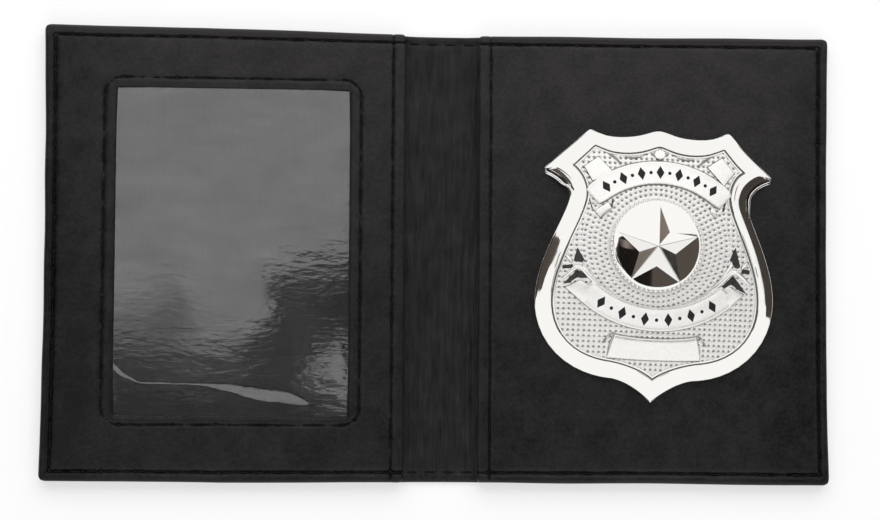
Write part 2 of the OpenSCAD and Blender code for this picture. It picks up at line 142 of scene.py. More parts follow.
# Half the shield's outline: shares of its width and height, then how far each
# control point moves for each millimetre that the outline is set in
OUTLINE = (
    ((0, .425, 0, -1), (.065, .425, -.36, -1), (.13, .355, 0, -1), (.286, .429, -.27, -1)),
    ((.286, .429, -.27, -1), (.349, .377, -.74, -.6), (.413, .326, -1.22, -.2),
     (.476, .274, -1.69, .21)),
    ((.476, .274, -1.69, .21), (.418, .257, -1.24, .17), (.37, .222, -1, .17), (.37, .176, -1, 0)),
    ((.37, .176, -1, 0), (.37, .116, -1, -.15), (.5, -.051, -1, -.15), (.5, -.201, -1, 0)),
    ((.5, -.201, -1, 0), (.5, -.371, -1, .48), (.351, -.483, -.4, 1.05), (.172, -.492, .12, 1)),
    ((.172, -.492, .12, 1), (.115, -.499, .24, 1), (.052, -.532, 0, 1.24), (0, -.575, 0, 1.35)),
)


# Sizes and colours

def size(name, text, default, low, high):
    """A length in millimetres that a user may change."""
    return FloatProperty(name=name, description=text, default=default, min=low, max=high,
                         unit="NONE", precision=2)


def colour(name, text, default):
    """A colour that a user may change."""
    return FloatVectorProperty(name=name, description=text, default=default, size=3,
                               min=0.0, max=1.0, subtype="COLOR")


class WalletSizes(PropertyGroup):
    """Sizes of the soft and worked detail, in millimetres."""

    edge_roll: size("Edge roll", "Radius of the folded panel edges, in mm", 0.8, 0.3, 0.95)
    hem_puff: size("Hem puff", "Rise of the hems between edge and seam, in mm", 0.28, 0.0, 0.4)
    seam_depth: size("Seam depth", "Depth of the seam valleys, in mm", 0.42, 0.1, 0.5)
    hole_depth: size("Needle hole depth", "Depth of the needle holes, in mm", 0.34, 0.0, 0.5)
    wrinkle: size("Spine wrinkles", "Height of the wrinkles in the spine, in mm", 0.15, 0.0, 0.25)
    film_ripple: size("Film ripple", "Height of the waves in the film, in mm", 0.03, 0.0, 0.1)
    thread_w: size("Thread width", "Width of the thread, in mm", 0.5, 0.3, 0.8)
    thread_t: size("Thread thickness", "Thickness of the thread, in mm", 0.36, 0.2, 0.6)
    pit: size("Pit depth", "Depth of the punched pits in the shield's ground, in mm", 0.3, 0.1, 0.5)
    grain: size("Leather grain", "Width of the grain in the leather, in mm", 0.45, 0.2, 1.5)


class WalletColours(PropertyGroup):
    """Colours of the wallet's materials."""

    leather: colour("Leather", "Panels and cover", (0.0082, 0.0083, 0.0084))
    lining: colour("Lining", "Lining and spine strip", (0.0075, 0.0075, 0.0077))
    thread: colour("Thread", "All stitches", (0.0024, 0.0024, 0.0025))
    film: colour("Film", "Clear window film", (0.89, 0.87, 0.875))
    chrome: colour("Chrome", "Shield and medallion", (0.93, 0.915, 0.885))
    # Painted shade: the near-black of the rim's lip groove and of the shadow patches in the ribbons' folds
    recess: colour("Recess", "Darkened grooves of the shield", (0.075, 0.07, 0.066))
    enamel: colour("Enamel", "Marks in the ribbons", (0.006, 0.006, 0.007))
    stud: colour("Stud metal", "Studs of the shield", (0.52, 0.5, 0.46))
    nut: colour("Nut steel", "Push nuts", (0.34, 0.35, 0.36))
    board: colour("Board", "Stiffener boards", (0.32, 0.24, 0.15))
    floor: colour("Floor", "Floor under the wallet", (0.93, 0.93, 0.93))


# Mesh helpers

def grid_lines(low, high, step, marks=()):
    """Lines from low to high about a step apart, with each mark kept as a line."""
    stops = sorted({round(float(m), 4) for m in (low, high, *marks) if low <= m <= high})
    rows = []
    for a, b in zip(stops, stops[1:]):
        count = max(1, round((b - a) / step))
        rows.extend(np.linspace(a, b, count, endpoint=False))
    return np.array(rows + [stops[-1]])


def coarse_picks(rows, step, marks=()):
    """Indices of the grid lines that the slab's plain side uses."""
    stops = sorted({0, len(rows) - 1, *(int(np.abs(rows - m).argmin()) for m in marks
                                        if rows[0] <= m <= rows[-1])})
    picks = []
    for a, b in zip(stops, stops[1:]):
        count = max(1, min(b - a, round((rows[b] - rows[a]) / step)))
        picks.extend(np.round(np.linspace(a, b, count, endpoint=False)).astype(int))
    return np.unique(np.array(picks + [stops[-1]], int))


def slab(fine, plain, x_picks=None, y_picks=None, keep=None):
    """A closed slab. fine is its detailed side as a grid of points, plain its other
    side, of which only the picked lines are used. keep says which plain cells exist."""
    nx, ny = fine.shape[:2]
    cx = np.arange(nx) if x_picks is None else x_picks
    cy = np.arange(ny) if y_picks is None else y_picks
    if keep is None:
        keep = np.ones((len(cx) - 1, len(cy) - 1), bool)
    fine_id = np.arange(nx * ny).reshape(nx, ny)
    plain_id = nx * ny + np.arange(len(cx) * len(cy)).reshape(len(cx), len(cy))
    fine_keep = keep[np.searchsorted(cx, np.arange(nx - 1), side="right") - 1][
        :, np.searchsorted(cy, np.arange(ny - 1), side="right") - 1]

    def quads(ids, mask):
        i, j = np.nonzero(mask)
        return np.stack([ids[i, j], ids[i + 1, j], ids[i + 1, j + 1], ids[i, j + 1]], 1)

    faces = quads(fine_id, fine_keep).tolist() + quads(plain_id, keep)[:, ::-1].tolist()
    padded = np.pad(keep, 1)
    for i, j in zip(*np.nonzero(keep)):
        x0, x1, y0, y1 = cx[i], cx[i + 1], cy[j], cy[j + 1]
        if not padded[i, j + 1]:
            faces.append([plain_id[i, j], *fine_id[x0, y0:y1 + 1], plain_id[i, j + 1]])
        if not padded[i + 2, j + 1]:
            faces.append([plain_id[i + 1, j], *fine_id[x1, y0:y1 + 1], plain_id[i + 1, j + 1]])
        if not padded[i + 1, j]:
            faces.append([plain_id[i, j], *fine_id[x0:x1 + 1, y0], plain_id[i + 1, j]])
        if not padded[i + 1, j + 2]:
            faces.append([plain_id[i, j + 1], *fine_id[x0:x1 + 1, y1], plain_id[i + 1, j + 1]])
    points = np.concatenate([fine.reshape(-1, 3), plain[np.ix_(cx, cy)].reshape(-1, 3)])
    return used_only(points, faces)


def sheet(x, y, top, low, *picks, **named):
    """A closed slab between two heights over the same grid of places."""
    return slab(np.stack([x, y, top], -1), np.stack([x, y, low], -1), *picks, **named)


def used_only(points, faces):
    """The same body without the points that no face uses."""
    used = np.unique(np.concatenate([np.asarray(f) for f in faces]))
    place = np.full(len(points), -1)
    place[used] = np.arange(len(used))
    return points[used], [place[np.asarray(f)].tolist() for f in faces]


def join(parts):
    """One list of points and faces from several."""
    points, faces, start = [], [], 0
    for p, f in parts:
        points.append(np.asarray(p, float))
        faces.extend([[start + k for k in face] for face in f])
        start += len(p)
    return np.concatenate(points), faces


def add_piece(name, part, material, body, nodes, sharp=50.0):
    """A mesh piece in millimetres, riding on its body in place of its CAD nodes."""
    points, faces = part
    mesh = bpy.data.meshes.new(name)
    mesh.from_pydata((np.asarray(points) * MM).tolist(), [], faces)
    work = bmesh.new()
    work.from_mesh(mesh)
    bmesh.ops.recalc_face_normals(work, faces=work.faces)
    work.to_mesh(mesh)
    work.free()
    mesh.polygons.foreach_set("use_smooth", [True] * len(mesh.polygons))
    mesh.set_sharp_from_angle(angle=math.radians(sharp))
    mesh.materials.append(material)
    mesh.update()
    piece = bpy.data.objects.new(name, mesh)
    bpy.context.scene.collection.objects.link(piece)
    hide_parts(*nodes)
    if isinstance(body, str):
        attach(piece, body)
    return piece


def roll(d, r):
    """How far a rounded edge of radius r drops at a distance d from the edge."""
    t = np.clip(r - d, 0, r)
    return np.sqrt(r * r - t * t) - r


def pillow(d, width, height):
    """A puffed band from 0 to width."""
    t = np.clip(d / width, 0, 1)
    return height * (4 * t * (1 - t)) ** 0.8


def valley(d, depth, width):
    """A sunk line, with the distance from its middle."""
    return -depth * np.exp(-((d / width) ** 2))


def smooth(value, low, high):
    """An eased step from 0 at low to 1 at high."""
    t = np.clip((value - low) / (high - low), 0, 1)
    return t * t * (3 - 2 * t)


def waves(x, y, seed, length, count=7):
    """A smooth uneven surface between about -1 and 1, from crossing waves."""
    rng = np.random.default_rng(seed)
    total = np.zeros(np.broadcast(x, y).shape)
    for _ in range(count):
        turn, phase = rng.uniform(0, math.tau, 2)
        k = math.tau / (length * rng.uniform(0.6, 1.7))
        total += np.sin(k * (x * math.cos(turn) + y * math.sin(turn)) + phase)
    return total / math.sqrt(count)


def press_holes(z, xs, ys, holes, depth, spread):
    """Presses needle holes into a height grid, in place, some deeper than others."""
    shares = np.random.default_rng(len(holes)).uniform(0.5, 1.25, len(holes))
    for (hx, hy), share in zip(holes, shares):
        i0, i1 = np.searchsorted(xs, (hx - 3 * spread, hx + 3 * spread))
        j0, j1 = np.searchsorted(ys, (hy - 3 * spread, hy + 3 * spread))
        dx, dy = xs[i0:i1, None] - hx, ys[None, j0:j1] - hy
        z[i0:i1, j0:j1] -= depth * share * np.exp(-(dx * dx + dy * dy) / spread**2)


# How far the seams have drawn the flat shape in along each side: places along the
# side, then millimetres inwards
TOP_DRAW = ((-100, 0.3), (-85, 0.6), (-60, 0.62), (-35, 1.05), (-10, 1.42), (12, 1.45), (40, 1.37),
            (67, 1.07), (100, 0.7))
LOW_DRAW = ((-100, 0.3), (-80, 0.3), (-55, 0.0), (-40, 0.15), (-10, 0.18), (40, 0.2), (70, 0.0),
            (88, -0.3), (100, -0.3))
LEFT_DRAW = ((-57, 0.2), (-48, 0.44), (-23, 0.78), (5, 0.72), (28, 0.6), (41, 0.39), (57, 0.0))
RIGHT_DRAW = ((-57, 0.7), (-36, 1.1), (-10, 1.2), (15, 1.05), (28, 0.9), (41, 0.7), (57, 0.55))
DRAW_REACH = 14.0


def drawn(x, y):
    """Where a point of the flat leather lies once its seams have drawn the rim in."""
    def pull(table, along, from_rim):
        places, amounts = zip(*table)
        return np.interp(along, places, amounts) * np.clip(1 - from_rim / DRAW_REACH, 0, 1) ** 2

    dx = pull(LEFT_DRAW, y, HALF_W + x) - pull(RIGHT_DRAW, y, HALF_W - x)
    dx = dx + WINDOW_PULL * np.exp(-((x + HALF_W - WINDOW_MARGIN) / PULL_REACH) ** 2)
    dy = pull(LOW_DRAW, x, HALF_H + y) - pull(TOP_DRAW, x, HALF_H - y)
    return x + dx, y + dy


def round_corner(x, y, side_x, side_y, r, cx, cy):
    """Moves points in the square beside an outer corner onto a round corner."""
    a = np.clip((x * side_x - cx) / r, 0, 1)
    b = np.clip((y * side_y - cy) / r, 0, 1)
    inside = (a > 0) & (b > 0)
    nx = np.where(inside, side_x * (cx + r * a * np.sqrt(1 - b * b / 2)), x)
    ny = np.where(inside, side_y * (cy + r * b * np.sqrt(1 - a * a / 2)), y)
    return nx, ny


# Stitches

def row(cx, cy, span, pitch, along_y=False):
    """Stitches of a straight row: place, turn, length and bend."""
    count = max(1, round(span / pitch))
    step = span / count
    places = []
    for i in range(count):
        s = (i + 0.5) * step - span / 2
        places.append((cx, cy + s, 90.0, step, 0) if along_y else (cx + s, cy, 0.0, step, 0))
    return places


def rim_rows(side):
    """Rim stitches of one half: upper, lower and outer side."""
    seam_x, seam_y = HALF_W - RIM_SEAM, HALF_H - RIM_SEAM
    middle, span = (CREASE_X + seam_x) / 2, seam_x - CREASE_X - GROOVE_W / 2
    return (row(side * middle, seam_y, span, RIM_PITCH)
            + row(side * middle, -seam_y, span, RIM_PITCH)
            + row(side * seam_x, 0, 2 * seam_y - GROOVE_W, RIM_PITCH, True))


def spine_rows():
    """Rim stitches across the spine, above and below."""
    seam_y = HALF_H - RIM_SEAM
    return row(0, seam_y, 2 * CREASE_X, RIM_PITCH) + row(0, -seam_y, 2 * CREASE_X, RIM_PITCH)


def hem_rows(side):
    """Stitches along the spine side of a panel."""
    return row(side * (INNER_X + HEM_SEAM), 0, 2 * (HALF_H - RIM_SEAM) - GROOVE_W, HEM_PITCH, True)


def window_rows():
    """Stitches round the window: four sides, two in each corner."""
    (cx, cy), (w, h), r = WINDOW_SEAM_MIDDLE, WINDOW_SEAM_SIZE, WINDOW_SEAM_R
    places = []
    for s in (-1, 1):
        places += row(cx, cy + s * h / 2, w - 2 * r, WINDOW_PITCH)
        places += row(cx + s * w / 2, cy, h - 2 * r, WINDOW_PITCH, True)
    for sx in (-1, 1):
        for sy in (-1, 1):
            for turn in (22.5, 67.5):
                a = math.radians(turn)
                places.append((cx + sx * (w / 2 - r + r * math.cos(a)),
                               cy + sy * (h / 2 - r + r * math.sin(a)),
                               sx * sy * (turn + 90), r * math.pi / 4, sy / r))
    return places


def holes_of(places):
    """Needle holes: one at each end of each stitch."""
    holes = []
    for x, y, turn, step, bend in places:
        a, off = math.radians(turn), bend * step**2 / 8
        for s in (-0.5, 0.5):
            holes.append((x + s * step * math.cos(a) - off * math.sin(a),
                          y + s * step * math.sin(a) + off * math.cos(a)))
    return sorted({(round(x, 1), round(y, 1)) for x, y in holes})


THREAD_SIDES = 8


def thread(places, z, up, sizes, seed):
    """Stitches as tapered tubes that dip into their needle holes."""
    rng = np.random.default_rng(seed)
    s = np.array([-1, -0.93, -0.8, -0.58, -0.3, 0, 0.3, 0.58, 0.8, 0.93, 1])
    n = THREAD_SIDES
    turns = np.arange(n) * math.tau / n
    girth = np.maximum(1 - np.abs(s) ** 3.2, 0.12) ** 0.5
    lift = 0.04 - 0.5 * np.abs(s) ** 3.2
    ring = np.stack([np.repeat(s, n),
                     (girth[:, None] * np.cos(turns)).ravel() * sizes.thread_w / 2,
                     (lift[:, None] + girth[:, None] * np.sin(turns) * sizes.thread_t / 2).ravel()], 1)
    faces = []
    for k in range(len(s) - 1):
        for m in range(n):
            after = (m + 1) % n
            faces.append([n * k + m, n * k + after, n * k + n + after, n * k + n + m])
    faces += [list(range(n))[::-1], list(range(n * len(s) - n, n * len(s)))]
    parts = []
    for x, y, turn, step, bend in places:
        a = math.radians(turn + rng.normal(0, 2.6))
        half = step * STITCH_SHARE / 2 * rng.uniform(0.86, 1.08)
        along = ring[:, 0] * half
        across = ring[:, 1] * rng.uniform(0.8, 1.15) + rng.normal(0, 0.05) + bend * along**2 / 2
        px = x + along * math.cos(a) - across * math.sin(a)
        py = y + along * math.sin(a) + across * math.cos(a)
        sink = rng.uniform(0, 0.1)
        parts.append((np.stack([*drawn(px, py), z + up * (ring[:, 2] - sink)], 1), faces))
    return join(parts)


# Materials

class Finish:
    """A material whose colour, gloss and bump come from textures in object space."""

    def __init__(self, name, base, **sockets):
        self.material = bpy.data.materials.new(name)
        self.material.use_nodes = True
        self.nodes, self.links = self.material.node_tree.nodes, self.material.node_tree.links
        self.shader = self.nodes["Principled BSDF"]
        self.place = self.nodes.new("ShaderNodeTexCoord").outputs["Object"]
        self.shader.inputs["Base Color"].default_value = (*base, 1)
        for socket, value in sockets.items():
            self.shader.inputs[socket.replace("_", " ")].default_value = value
        self.normal = None

    def node(self, kind, **values):
        made = self.nodes.new(kind)
        for key, value in values.items():
            setattr(made, key, value)
        return made

    def stretched(self, scale):
        """Object coordinates scaled apart along each axis."""
        mapping = self.node("ShaderNodeMapping")
        mapping.inputs["Scale"].default_value = scale
        self.links.new(self.place, mapping.inputs["Vector"])
        return mapping.outputs["Vector"]

    def noise(self, width, detail=3.0, rough=0.55, vector=None):
        """Noise whose blotches are about width millimetres across."""
        made = self.node("ShaderNodeTexNoise")
        made.inputs["Scale"].default_value = 1 / (width * MM)
        made.inputs["Detail"].default_value = detail
        made.inputs["Roughness"].default_value = rough
        self.links.new(vector or self.place, made.inputs["Vector"])
        return made.outputs["Fac"]

    def cells(self, width):
        """Rounded cells about width millimetres across."""
        made = self.node("ShaderNodeTexVoronoi")
        made.inputs["Scale"].default_value = 1 / (width * MM)
        self.links.new(self.place, made.inputs["Vector"])
        return made.outputs["Distance"]

    def ranged(self, value, low, high, start=0.3, end=0.7):
        made = self.node("ShaderNodeMapRange")
        for key, number in (("From Min", start), ("From Max", end), ("To Min", low), ("To Max", high)):
            made.inputs[key].default_value = number
        self.links.new(value, made.inputs["Value"])
        return made.outputs["Result"]

    def across(self, axis, low, high, plain=False):
        """0 to 1 between two places along an axis, in mm; from the middle out unless plain."""
        parts = self.node("ShaderNodeSeparateXYZ")
        self.links.new(self.place, parts.inputs["Vector"])
        value = parts.outputs[axis]
        if axis == "X" and not plain:
            size = self.node("ShaderNodeMath", operation="ABSOLUTE")
            self.links.new(value, size.inputs[0])
            value = size.outputs["Value"]
        return self.ranged(value, 0.0, 1.0, low * MM, high * MM)

    def total(self, *shares, start=0.0):
        """Sum of textures, each times its share."""
        value = None
        for texture, share in shares:
            made = self.node("ShaderNodeMath", operation="MULTIPLY_ADD")
            self.links.new(texture, made.inputs[0])
            made.inputs[1].default_value = share
            if value is None:
                made.inputs[2].default_value = start
            else:
                self.links.new(value, made.inputs[2])
            value = made.outputs["Value"]
        return value

    def tint(self, value, dark, light, start=0.3, end=0.7, middle=None):
        """Base colour between two colours by a texture, by way of a middle one."""
        ramp = self.node("ShaderNodeValToRGB")
        ramp.color_ramp.elements[0].position, ramp.color_ramp.elements[1].position = start, end
        ramp.color_ramp.elements[0].color = (*dark, 1)
        ramp.color_ramp.elements[1].color = (*light, 1)
        if middle:
            ramp.color_ramp.elements.new(middle[0]).color = (*middle[1], 1)
        self.links.new(value, ramp.inputs["Fac"])
        self.links.new(ramp.outputs["Color"], self.shader.inputs["Base Color"])

    def gloss(self, value, low, high):
        self.links.new(self.ranged(value, low, high), self.shader.inputs["Roughness"])

    def bump(self, value, height, strength=1.0):
        """A bump of so many millimetres, on top of the bumps before it."""
        made = self.node("ShaderNodeBump")
        made.inputs["Strength"].default_value = strength
        made.inputs["Distance"].default_value = height * MM
        self.links.new(value, made.inputs["Height"])
        if self.normal:
            self.links.new(self.normal, made.inputs["Normal"])
        self.normal = made.outputs["Normal"]
        self.links.new(self.normal, self.shader.inputs["Normal"])


def scaled(rgb, factor):
    """A colour made darker or lighter, up to full white."""
    return tuple(min(1.0, c * factor) for c in rgb)


def leather_finish(name, base, grain, streaks=False, painted_light=False):
    """Smooth black leather, fine pebbled grain and mottled dye; where asked, also painted light and shade:
    lighter towards the top, on the top rim and the right half, darker at both outer sides.
    """
    f = Finish(name, base, Specular_IOR_Level=0.2, Sheen_Weight=0.02, Sheen_Roughness=0.4)
    fine = f.noise(1.0, 4.0, 0.6, f.stretched((1.0, 0.12, 1.0)) if streaks else None)
    mottle_and_light = f.total((fine, 0.75 if streaks else 0.5), (f.noise(6.0, 4.0), 0.5),
                     start=-0.1 if streaks else 0.0)
    # Painted light and shade, standing in for how the light falls: lighter towards the top and again on the
    # top rim strip, a little lighter on the right half, darker at both outer sides
    if painted_light:
        mottle_and_light = f.total((mottle_and_light, 1.0), (f.across("Y", -42, 50), 0.17), (f.across("X", 78, 93), -0.13),
                         (f.across("Y", 53.8, 55.2), 0.2), (f.across("X", 10, 40, plain=True), 0.07),
                         start=-0.05)
    f.tint(mottle_and_light, scaled(base, 0.3), tuple(c * 2.4 * k for c, k in zip(base, (1.12, 0.98, 1.04))),
           0.3, 0.75, middle=(0.5, scaled(base, 1.25)))
    f.gloss(f.noise(2.4, 3.0), 0.3, 0.44)
    if streaks:
        f.bump(f.noise(1.1, 3.0, 0.6, f.stretched((1.0, 0.09, 1.0))), 0.25, 1.0)
        f.bump(f.noise(0.5, 3.0, 0.6, f.stretched((1.0, 0.2, 1.0))), 0.09, 1.0)
    else:
        f.bump(f.noise(1.3, 4.0, 0.65, f.stretched((0.4, 1.0, 1.0))), 0.03, 0.8)
    f.bump(f.cells(grain), 0.03, 0.6)
    f.bump(f.noise(grain * 0.4, 2.0), 0.012, 0.5)
    return f.material


def thread_finish(name, base):
    """Twisted waxed thread."""
    f = Finish(name, base, Specular_IOR_Level=0.15)
    f.tint(f.noise(0.6), scaled(base, 0.5), scaled(base, 1.8))
    f.gloss(f.noise(0.4), 0.5, 0.75)
    twist = f.node("ShaderNodeTexWave", wave_type="BANDS", bands_direction="DIAGONAL")
    twist.inputs["Scale"].default_value = 700
    twist.inputs["Distortion"].default_value = 1.5
    f.links.new(f.place, twist.inputs["Vector"])
    f.bump(twist.outputs["Fac"], 0.06, 0.8)
    return f.material


def film_finish(name, base):
    """Clear flexible film, faintly crumpled across and scuffed."""
    f = Finish(name, base, Transmission_Weight=1.0, IOR=1.84)
    f.gloss(f.noise(6.0, 5.0), 0.02, 0.04)
    haze = f.noise(5.0, 6.0, 0.6, f.stretched((0.3, 1.0, 1.0)))
    f.links.new(f.ranged(haze, 1.77, 1.93), f.shader.inputs["IOR"])
    f.tint(f.noise(18.0, 3.0), scaled(base, 0.93), base)
    f.bump(f.noise(3.0, 3.0, 0.5, f.stretched((0.35, 1.0, 1.0))), 0.024, 1.0)
    f.bump(f.noise(1.0, 3.0, 0.5, f.stretched((0.4, 1.0, 1.0))), 0.011, 1.0)
    return f.material


def chrome_finish(name, base, rough, ripple, soot=0.0, metal=1.0):
    """Plated metal: polished, with the faint unevenness of a casting."""
    f = Finish(name, base, Metallic=metal, Specular_IOR_Level=0.3)
    f.gloss(f.noise(3.0, 4.0), rough * 0.75, rough * 1.25)
    f.tint(f.noise(1.4, 4.0), scaled(base, 1 - soot), base, 0.35, 0.6)
    f.bump(f.noise(2.2, 2.0), ripple, 0.5)
    return f.material


def enamel_finish(name, base):
    """Hard enamel with a slightly dull face."""
    f = Finish(name, base, Specular_IOR_Level=0.3)
    f.gloss(f.noise(0.8), 0.32, 0.46)
    f.tint(f.noise(1.0), scaled(base, 0.7), scaled(base, 1.4))
    f.bump(f.noise(0.5, 2.0), 0.01, 0.4)
    return f.material


def steel_finish(name, base, rough):
    """Plain stamped metal with fine drawing marks."""
    f = Finish(name, base, Metallic=1.0)
    f.gloss(f.noise(0.7, 4.0), rough * 0.8, rough * 1.3)
    f.tint(f.noise(2.0, 4.0), scaled(base, 0.75), scaled(base, 1.1))
    f.bump(f.noise(0.35, 2.0, 0.5, f.stretched((1.0, 0.2, 1.0))), 0.01, 0.5)
    return f.material


def board_finish(name, base):
    """Pressed fibre board."""
    f = Finish(name, base, Specular_IOR_Level=0.2)
    f.tint(f.noise(0.8, 6.0, 0.7), scaled(base, 0.65), scaled(base, 1.3))
    f.gloss(f.noise(1.2), 0.8, 0.95)
    f.bump(f.noise(0.3, 4.0, 0.7), 0.05, 0.7)
    return f.material


# Share of plain white in what camera, mirrors and clear film see of the floor
FLOOR_GLOW = 0.55


def seen_rays(nodes, links):
    """1 for what the camera sees, by itself, in a mirror or through clear film."""
    path = nodes.new("ShaderNodeLightPath")
    seen = path.outputs["Is Camera Ray"]
    for ray in ("Is Glossy Ray", "Is Transmission Ray"):
        either = nodes.new("ShaderNodeMath")
        either.operation = "MAXIMUM"
        links.new(seen, either.inputs[0])
        links.new(path.outputs[ray], either.inputs[1])
        seen = either.outputs[0]
    return seen


def floor_finish(name, base):
    """Matt pale paper, which keeps a soft shadow and is otherwise seen as white."""
    f = Finish(name, base, Specular_IOR_Level=0.0, Roughness=0.95)
    f.tint(f.noise(40.0, 4.0), scaled(base, 0.995), base)
    f.bump(f.noise(0.8, 3.0), 0.01, 0.2)
    white, mix = f.node("ShaderNodeEmission"), f.node("ShaderNodeMixShader")
    share = f.node("ShaderNodeMath", operation="MULTIPLY")
    share.inputs[1].default_value = FLOOR_GLOW
    f.links.new(seen_rays(f.nodes, f.links), share.inputs[0])
    f.links.new(share.outputs[0], mix.inputs["Fac"])
    f.links.new(f.shader.outputs["BSDF"], mix.inputs[1])
    f.links.new(white.outputs["Emission"], mix.inputs[2])
    f.links.new(mix.outputs["Shader"], f.nodes["Material Output"].inputs["Surface"])
    return f.material


MATERIALS = {}


def finishes(context):
    """Every material, made once."""
    if not MATERIALS:
        c, s = context.scene.wallet_colours, context.scene.wallet_sizes
        MATERIALS.update(
            cover=leather_finish("cover_leather", c.leather, s.grain * 1.3),
            # The panels' leather carries painted light and shade as well as its mottle
            panel=leather_finish("panel_leather", c.leather, s.grain, painted_light=True),
            lining=leather_finish("lining_leather", c.lining, s.grain, streaks=True),
            thread=thread_finish("black_thread", c.thread),
            film=film_finish("clear_film", c.film),
            rim=chrome_finish("polished_chrome", c.chrome, 0.055, 0.002),
            ground=chrome_finish("ground_chrome", scaled(c.chrome, 0.94), 0.4, 0.01, 0.08, 0.6),
            # Painted shade: the chrome at under half its brightness, for the pits, the rim's inner groove
            # and the foot of raised parts
            pit=chrome_finish("pit_shade_chrome", scaled(c.chrome, 0.42), 0.45, 0.01, 0.2),
            satin=chrome_finish("satin_chrome", c.chrome, 0.28, 0.004, 0.02, 0.75),
            # Painted shade: near-black metal for the rim's lip groove and the shadow patches in the folds
            recess=chrome_finish("deep_shade_chrome", c.recess, 0.4, 0.01),
            mirror=chrome_finish("mirror_chrome", scaled(c.chrome, 1.02), 0.035, 0.001),
            # Painted shade: a darker copy of the chrome for the star's facets that face down the wallet
            star=chrome_finish("star_shaded_chrome", scaled(c.chrome, 0.93), 0.045, 0.001),
            enamel=enamel_finish("black_enamel", c.enamel),
            stud=steel_finish("stud_metal", c.stud, 0.3),
            nut=steel_finish("nut_steel", c.nut, 0.38),
            board=board_finish("stiffener_board", c.board),
            floor=floor_finish("floor_paper", c.floor),
        )
    return MATERIALS


# Leather layers

EDGE_MARKS = (0.03, 0.12, 0.28, 0.5, 0.62, 0.8, 1.1)
SEAM_MARKS = (-0.85, -0.5, -0.22, 0, 0.22, 0.5, 0.85)
FINE_STEP, PLAIN_STEP, COVER_PLAIN_STEP = 0.58, 9.0, 8.0
# Lines along the rim's edge and its seam
RIM_X_MARKS = [HALF_W - e for e in EDGE_MARKS] + [HALF_W - RIM_SEAM + m for m in SEAM_MARKS]
RIM_Y_MARKS = [s * (HALF_H - e) for s in (-1, 1) for e in EDGE_MARKS]
RIM_Y_MARKS += [s * (HALF_H - RIM_SEAM + m) for s in (-1, 1) for m in SEAM_MARKS]
# Step in the cover's inside beside the stiffener board: its middle, and lines round it
STEP_X = BOARD_X - 0.2
STEP_MARKS = (BOARD_X - 0.35, BOARD_X - 0.15)
# Lines across the crease, where the cover and the lining bend
BEND_LINES = np.arange(6.4, 12.0, 0.5)
# Where a small crease crosses the window panel's lower rim
RIM_CREASE_X = 43.8


def seam_distance(u, y):
    """Signed distance from the window's seam, outwards."""
    (cx, cy), (w, h), r = WINDOW_SEAM_MIDDLE, WINDOW_SEAM_SIZE, WINDOW_SEAM_R
    qx, qy = np.abs(u + cx) - (w / 2 - r), np.abs(y - cy) - (h / 2 - r)
    return (np.hypot(np.maximum(qx, 0), np.maximum(qy, 0))
            + np.minimum(np.maximum(qx, qy), 0) - r)


def window_distance(u, y):
    """Signed distance from the window's opening, outwards."""
    (cx, cy), (w, h) = WINDOW_MIDDLE, WINDOW_SIZE
    return np.maximum(np.abs(u + cx) - w / 2, np.abs(y - cy) - h / 2)


def fill_window_corners(u, y):
    """Rounds the corners of the opening by drawing the leather into them."""
    (cx, cy), (w, h), r = WINDOW_MIDDLE, WINDOW_SIZE, WINDOW_R
    e = window_distance(u, y)
    fade = np.exp(-np.maximum(e, 0) / 0.7) * (e > -0.01)
    sx, sy = np.sign(u + cx), np.sign(y - cy)
    a = np.clip((np.abs(u + cx) - w / 2 + r) / r, 0, 1)
    b = np.clip((np.abs(y - cy) - h / 2 + r) / r, 0, 1)
    du = r * a * (1 - np.sqrt(1 - b * b / 2))
    dy = r * b * (1 - np.sqrt(1 - a * a / 2))
    return u - sx * du * fade * (a > 0) * (b > 0), y - sy * dy * fade * (a > 0) * (b > 0)


